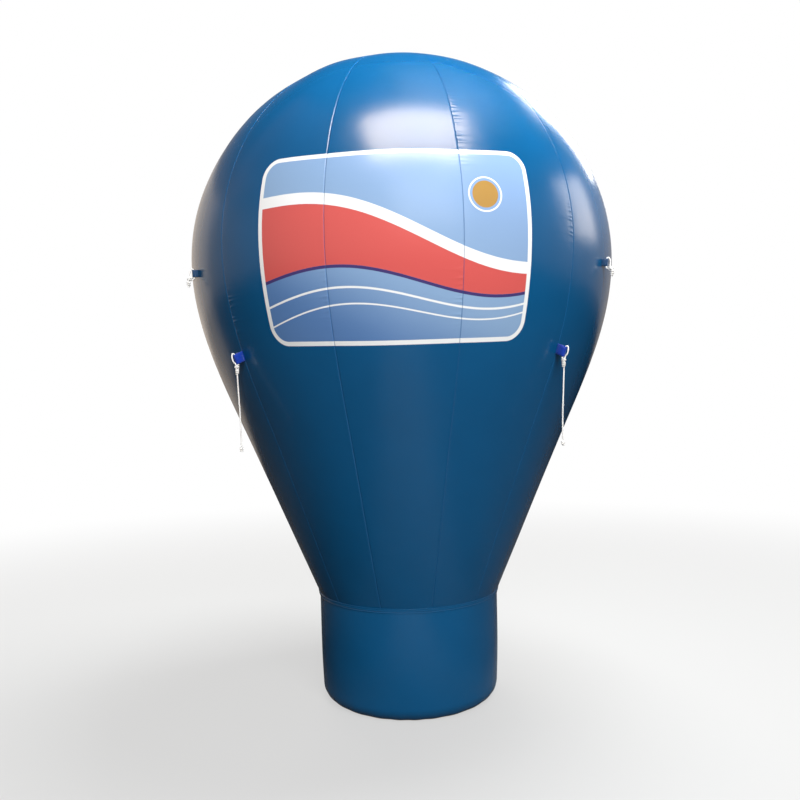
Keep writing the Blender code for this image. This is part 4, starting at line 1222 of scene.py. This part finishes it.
class BALLOON_OT_zip(bpy.types.Operator):
    """Sew the zip into the rear wall and hang its slider."""

    bl_idname = "balloon.zip"
    bl_label = "Zip"

    def execute(self, context):
        low, high = ZIP_Z
        rows = np.linspace(low, high, 60)
        half = ZIP_WIDTH / 2
        offsets = np.array([-half, -half + 0.001, -0.004, -0.0015, 0, 0.0015, 0.004, half - 0.001, half])
        lift = np.array([0.0002, 0.0011, 0.0013, 0.0018, 0.0018, 0.0018, 0.0013, 0.0011, 0.0002])
        swell = 0.0035 * np.sin(math.pi * rows / NECK_Z) - 0.0002
        radius = (wall_radius(rows) + swell)[:, None] + lift[None, :]
        azimuth = ZIP_AZIMUTH + np.degrees(offsets[None, :] / wall_radius(rows)[:, None])
        cut = np.stack(np.broadcast_arrays(offsets[None, :], rows[:, None]), axis=-1)
        tape = grid_mesh("zip_tape_cloth", at(azimuth, radius, rows[:, None]), {"cut": cut})
        place("zip_tape_cloth", tape, zip_look(), "zip_cloth", ["zip_tape"])

        a = math.radians(ZIP_AZIMUTH)
        out, around, up = np.array((math.sin(a), -math.cos(a), 0)), np.array((math.cos(a), math.sin(a), 0)), np.array((0, 0, 1))
        places, runs, normals, rims, rim_runs = [], [], [], [], []
        pitch = 0.0024
        for k in range(int((high - low - 0.004) / pitch)):
            z = low + 0.002 + pitch * k
            bulge = 0.0035 * math.sin(math.pi * z / NECK_Z) + 0.0022
            for side in (-1, 1):
                spot = out * (wall_radius(z) + bulge) + around * side * 0.0011 + up * (z + side * pitch / 4)
                places.append(spot)
                runs.append(around)
                normals.append(out)
        teeth = stitch_mesh("zip_teeth", places, runs, normals, 0.0042, 0.0019)
        place("zip_teeth", teeth, zip_look(), "zip_cloth")
        places, runs, normals = [], [], []
        for k in range(int((high - low - 0.008) / 0.005)):
            z = low + 0.004 + 0.005 * k
            bulge = 0.0035 * math.sin(math.pi * z / NECK_Z) + 0.0014
            for side in (-1, 1):
                places.append(out * (wall_radius(z) + bulge) + around * side * (half - 0.0035) + up * z)
                runs.append(up)
                normals.append(out)
        place("zip_stitches", stitch_mesh("zip_stitches", places, runs, normals, 0.0036, 0.0008), thread_look(), "zip_cloth")

        top = high - 0.004
        seat = wall_radius(top) + 0.0016
        body = [
            (0, -0.0065), (0.003, -0.0065), (0.0052, -0.0050), (0.0060, 0.0), (0.0052, 0.0050), (0.003, 0.0065), (0, 0.0065),
        ]
        shape = turned_mesh("slider_body", [(r, z * 1.25) for r, z in body], 24)
        shape.transform(Matrix.Diagonal((1.0, 0.55, 1.0, 1.0)))
        pull = smooth_path([(0.0, 0.0), (0.0036, -0.002), (0.0044, -0.012), (0.0050, -0.026), (0.0036, -0.0345), (0.0, -0.0365)], 6)
        pull_points = []
        for x, z in pull:
            pull_points.append([(-x, 0.0012, z), (-x * 0.9, 0.0020, z), (x * 0.9, 0.0020, z), (x, 0.0012, z), (x * 0.9, 0.0004, z), (-x * 0.9, 0.0004, z), (-x, 0.0012, z)])
        pull_mesh = grid_mesh("slider_pull", np.array(pull_points, float), {"cut": np.zeros((len(pull_points), 7, 2))}, weld=True, smooth_angle=30)
        pull_mesh.transform(Matrix.Translation((0, 0.0050, -0.004)))
        slider = joined("zip_slider_cast", [shape, pull_mesh])
        basis = Matrix((Vector(around), Vector(out), Vector(up))).transposed().to_4x4()
        basis.translation = Vector(out) * (seat + 0.0024) + Vector((0, 0, top - 0.0095))
        slider.transform(basis)
        slider.shade_smooth()
        place("zip_slider_cast", slider, steel_look(), "zip_metal", ["zip_slider"])
        return {"FINISHED"}


class BALLOON_OT_gland(bpy.types.Operator):
    """Screw the cable gland into the rear wall."""

    bl_idname = "balloon.gland"
    bl_label = "Cable gland"

    def execute(self, context):
        a = math.radians(GLAND_AZIMUTH)
        out = Vector((math.sin(a), -math.cos(a), 0))
        axis = Matrix.Translation((0, 0, GLAND_Z)) @ out.to_track_quat("Z", "Y").to_matrix().to_4x4()
        seat = wall_radius(GLAND_Z) + 0.0006

        def hexagon(angles, heights):
            """Six flats on the lower nut and fine grip ribs on the cap."""
            flats = 0.0125 * (math.cos(math.pi / 6) / np.cos((np.radians(angles) % (math.pi / 3)) - math.pi / 6) - 1.0)
            nut = (heights > seat + 0.0032) & (heights < seat + 0.0095)
            cap = (heights > seat + 0.0100) & (heights < seat + 0.0158)
            return np.where(nut, flats, 0.0) + np.where(cap, 0.0003 * np.sin(np.radians(angles) * 24), 0.0)

        outline = [
            (0, seat - 0.004), (0.0165, seat - 0.004), (0.0168, seat + 0.0008), (0.0160, seat + 0.0030), (0.0128, seat + 0.0031),
            (0.0134, seat + 0.0040), (0.0134, seat + 0.0085), (0.0126, seat + 0.0094), (0.0106, seat + 0.0098),
            (0.0112, seat + 0.0104), (0.0112, seat + 0.0150), (0.0100, seat + 0.0178), (0.0078, seat + 0.0192), (0.0052, seat + 0.0196),
            (0.0046, seat + 0.0188), (0.0044, seat + 0.0150), (0, seat + 0.0150),
        ]
        gland = turned_mesh("cable_gland_moulded", outline, 96, axis, hexagon)
        place("cable_gland_moulded", gland, plastic_look(), "black_plastic", ["cable_gland"])
        return {"FINISHED"}


class BALLOON_OT_stage(bpy.types.Operator):
    """Lay the pale floor and set the studio lights."""

    bl_idname = "balloon.stage"
    bl_label = "Stage"

    def lamp(self, context, name, bearing, distance, size, radiance, colour, lights):
        """An area light, seen from the bulb at a bearing, that gives only diffuse or only glossy light."""
        aim = Vector((0, 0, BULB_AIM_Z))
        azimuth, elevation = (math.radians(angle) for angle in bearing)
        level = math.cos(elevation)
        away = Vector((math.sin(azimuth) * level, -math.cos(azimuth) * level, math.sin(elevation)))
        data = bpy.data.lights.new(name, "AREA")
        data.shape = "RECTANGLE"
        data.size, data.size_y = size
        data.energy = radiance * math.pi * size[0] * size[1]
        data.color = linear(colour)
        light = bpy.data.objects.new(name, data)
        light.location = aim + away * distance
        light.rotation_euler = (-away).to_track_quat("-Z", "Y").to_euler()
        light.visible_glossy = lights == "glossy"
        light.visible_diffuse = lights == "diffuse"
        context.scene.collection.objects.link(light)

    def execute(self, context):
        stage = context.scene.balloon_stage
        scene = context.scene
        scene.view_settings.view_transform = "Standard"
        mesh = bpy.data.meshes.new("studio_floor")
        reach = 60.0
        mesh.from_pydata([(-reach, -reach, 0), (reach, -reach, 0), (reach, reach, 0), (-reach, reach, 0)], [], [(0, 1, 2, 3)])
        floor = bpy.data.objects.new("studio_floor", mesh)
        floor.location.z = -0.001
        scene.collection.objects.link(floor)
        material, tree = new_material("studio_floor_painted")
        place_node = node(tree, "TexCoord").outputs["Object"]
        away = node(tree, "VectorMath", {0: place_node}, operation="LENGTH").outputs[1]
        fade = node(tree, "MapRange", {0: away, 1: 2.0, 2: 7.0, 3: 0.0, 4: 1.0}, interpolation_type="SMOOTHSTEP")
        glow = node(tree, "Emission", {"Color": (1, 1, 1, 1), "Strength": 1.0})
        # Part of the floor's own light stands for the bounce of a large white room
        base_glow = node(tree, "Emission", {"Color": (1, 1, 1, 1), "Strength": 0.58})
        paint = node(tree, "AddShader", {0: node(tree, "BsdfDiffuse", {"Color": (*stage.floor, 1)}), 1: base_glow})
        pale = node(tree, "MixShader", {0: fade, 1: paint, 2: glow})
        # The cloth mirrors darker ground than the camera sees, as it would outdoors. A paler strip of that ground down
        # the middle is painted light: it stands in for a lit patch in front, which the cloth mirrors as a soft upright
        # highlight on the cone and the base.
        spot = node(tree, "SeparateXYZ", {0: place_node})
        aside = node(tree, "Math", {0: node(tree, "Math", {0: spot.outputs[0], 1: 0.05}, operation="SUBTRACT")}, operation="ABSOLUTE")
        lit_strip_edge = node(tree, "MapRange", {0: aside, 1: 0.35, 2: 0.9, 3: 1.0, 4: 0.0}, interpolation_type="SMOOTHSTEP")
        ground = node(tree, "Mix", {0: lit_strip_edge, 6: (*stage.ground, 1), 7: (*stage.path, 1)}, data_type="RGBA").outputs[2]
        dark = node(tree, "BsdfDiffuse", {"Color": ground})
        rays = node(tree, "LightPath").outputs["Is Camera Ray"]
        node(tree, "OutputMaterial", {"Surface": node(tree, "MixShader", {0: rays, 1: dark, 2: pale})})
        mesh.materials.append(material)

        world = bpy.data.worlds.new("studio_room")
        scene.world = world
        world.use_nodes = True
        tree = world.node_tree
        tree.nodes.clear()
        height = node(tree, "SeparateXYZ", {0: node(tree, "TexCoord")}).outputs[2]
        upward = node(tree, "MapRange", {0: height, 1: 0.25, 2: 0.7, 3: 0.0, 4: 1.0}, interpolation_type="SMOOTHSTEP")
        walls = node(tree, "Mix", {0: upward, 6: (*stage.room, 1), 7: (*stage.ceiling, 1)}, data_type="RGBA").outputs[2]
        room = node(tree, "Background", {"Color": walls, "Strength": 1.0})
        white = node(tree, "Background", {"Color": (1, 1, 1, 1), "Strength": 1.0})
        rays = node(tree, "LightPath").outputs["Is Camera Ray"]
        node(tree, "OutputWorld", {"Surface": node(tree, "MixShader", {0: rays, 1: room, 2: white})})

        self.lamp(context, "sky_key", (110, 73), 5.6, (3.2, 3.2), 42.0, "fbfdff", "diffuse")
        self.lamp(context, "front_fill", (12, 24), 6.5, (3.6, 3.0), 16.0, "fbfdff", "diffuse")
        self.lamp(context, "overhead_softbox", (10, 58.5), 5.0, (3.5, 2.3), 19.0, "ffe8d0", "glossy")
        self.lamp(context, "right_softbox", (99, 20), 5.0, (1.8, 1.8), 4.6, "fff4ea", "glossy")
        self.lamp(context, "rim_softbox", (143, 34), 6.0, (1.5, 2.2), 14.0, "fffaf4", "glossy")
        self.lamp(context, "left_wall", (-134, 4), 6.0, (5.0, 5.0), 0.6, "ffeedd", "glossy")
        self.lamp(context, "left_haze", (-80, 48), 6.0, (5.0, 4.0), 0.16, "ffd4c4", "glossy")
        self.lamp(context, "back_fill", (200, 25), 6.0, (3.5, 3.0), 7.0, "fff8f0", "diffuse")
        return {"FINISHED"}


class BALLOON_PT_dressing(bpy.types.Panel):
    """Lists the steps that dress the balloon and their settings."""

    bl_idname = "BALLOON_PT_dressing"
    bl_label = "Balloon"
    bl_space_type = "VIEW_3D"
    bl_region_type = "UI"
    bl_category = "Balloon"

    def draw(self, context):
        layout = self.layout
        for operator in OPERATORS:
            layout.operator(operator.bl_idname)
        for attribute, group in SETTINGS.items():
            box = layout.box()
            box.label(text=group.__doc__.split(".")[0].split(":")[0])
            for key in group.__annotations__:
                box.prop(getattr(context.scene, attribute), key)


SETTINGS = {
    "balloon_cloth": BalloonCloth,
    "balloon_print": BalloonPrint,
    "balloon_rope": BalloonRope,
    "balloon_fan": BalloonFan,
    "balloon_stage": BalloonStage,
}
OPERATORS = (
    BALLOON_OT_camera,
    BALLOON_OT_tails,
    BALLOON_OT_lugs,
    BALLOON_OT_gores,
    BALLOON_OT_crown,
    BALLOON_OT_base,
    BALLOON_OT_fan,
    BALLOON_OT_zip,
    BALLOON_OT_gland,
    BALLOON_OT_stage,
)


def register():
    for group in SETTINGS.values():
        bpy.utils.register_class(group)
    for attribute, group in SETTINGS.items():
        setattr(bpy.types.Scene, attribute, bpy.props.PointerProperty(type=group))
    for operator in OPERATORS:
        bpy.utils.register_class(operator)
    bpy.utils.register_class(BALLOON_PT_dressing)


def unregister():
    bpy.utils.unregister_class(BALLOON_PT_dressing)
    for operator in reversed(OPERATORS):
        bpy.utils.unregister_class(operator)
    for attribute in SETTINGS:
        delattr(bpy.types.Scene, attribute)
    for group in reversed(tuple(SETTINGS.values())):
        bpy.utils.unregister_class(group)


def main():
    register()
    for operator in OPERATORS:
        family, step = operator.bl_idname.split(".")
        getattr(getattr(bpy.ops, family), step)()


if __name__ == "__main__":
    main()
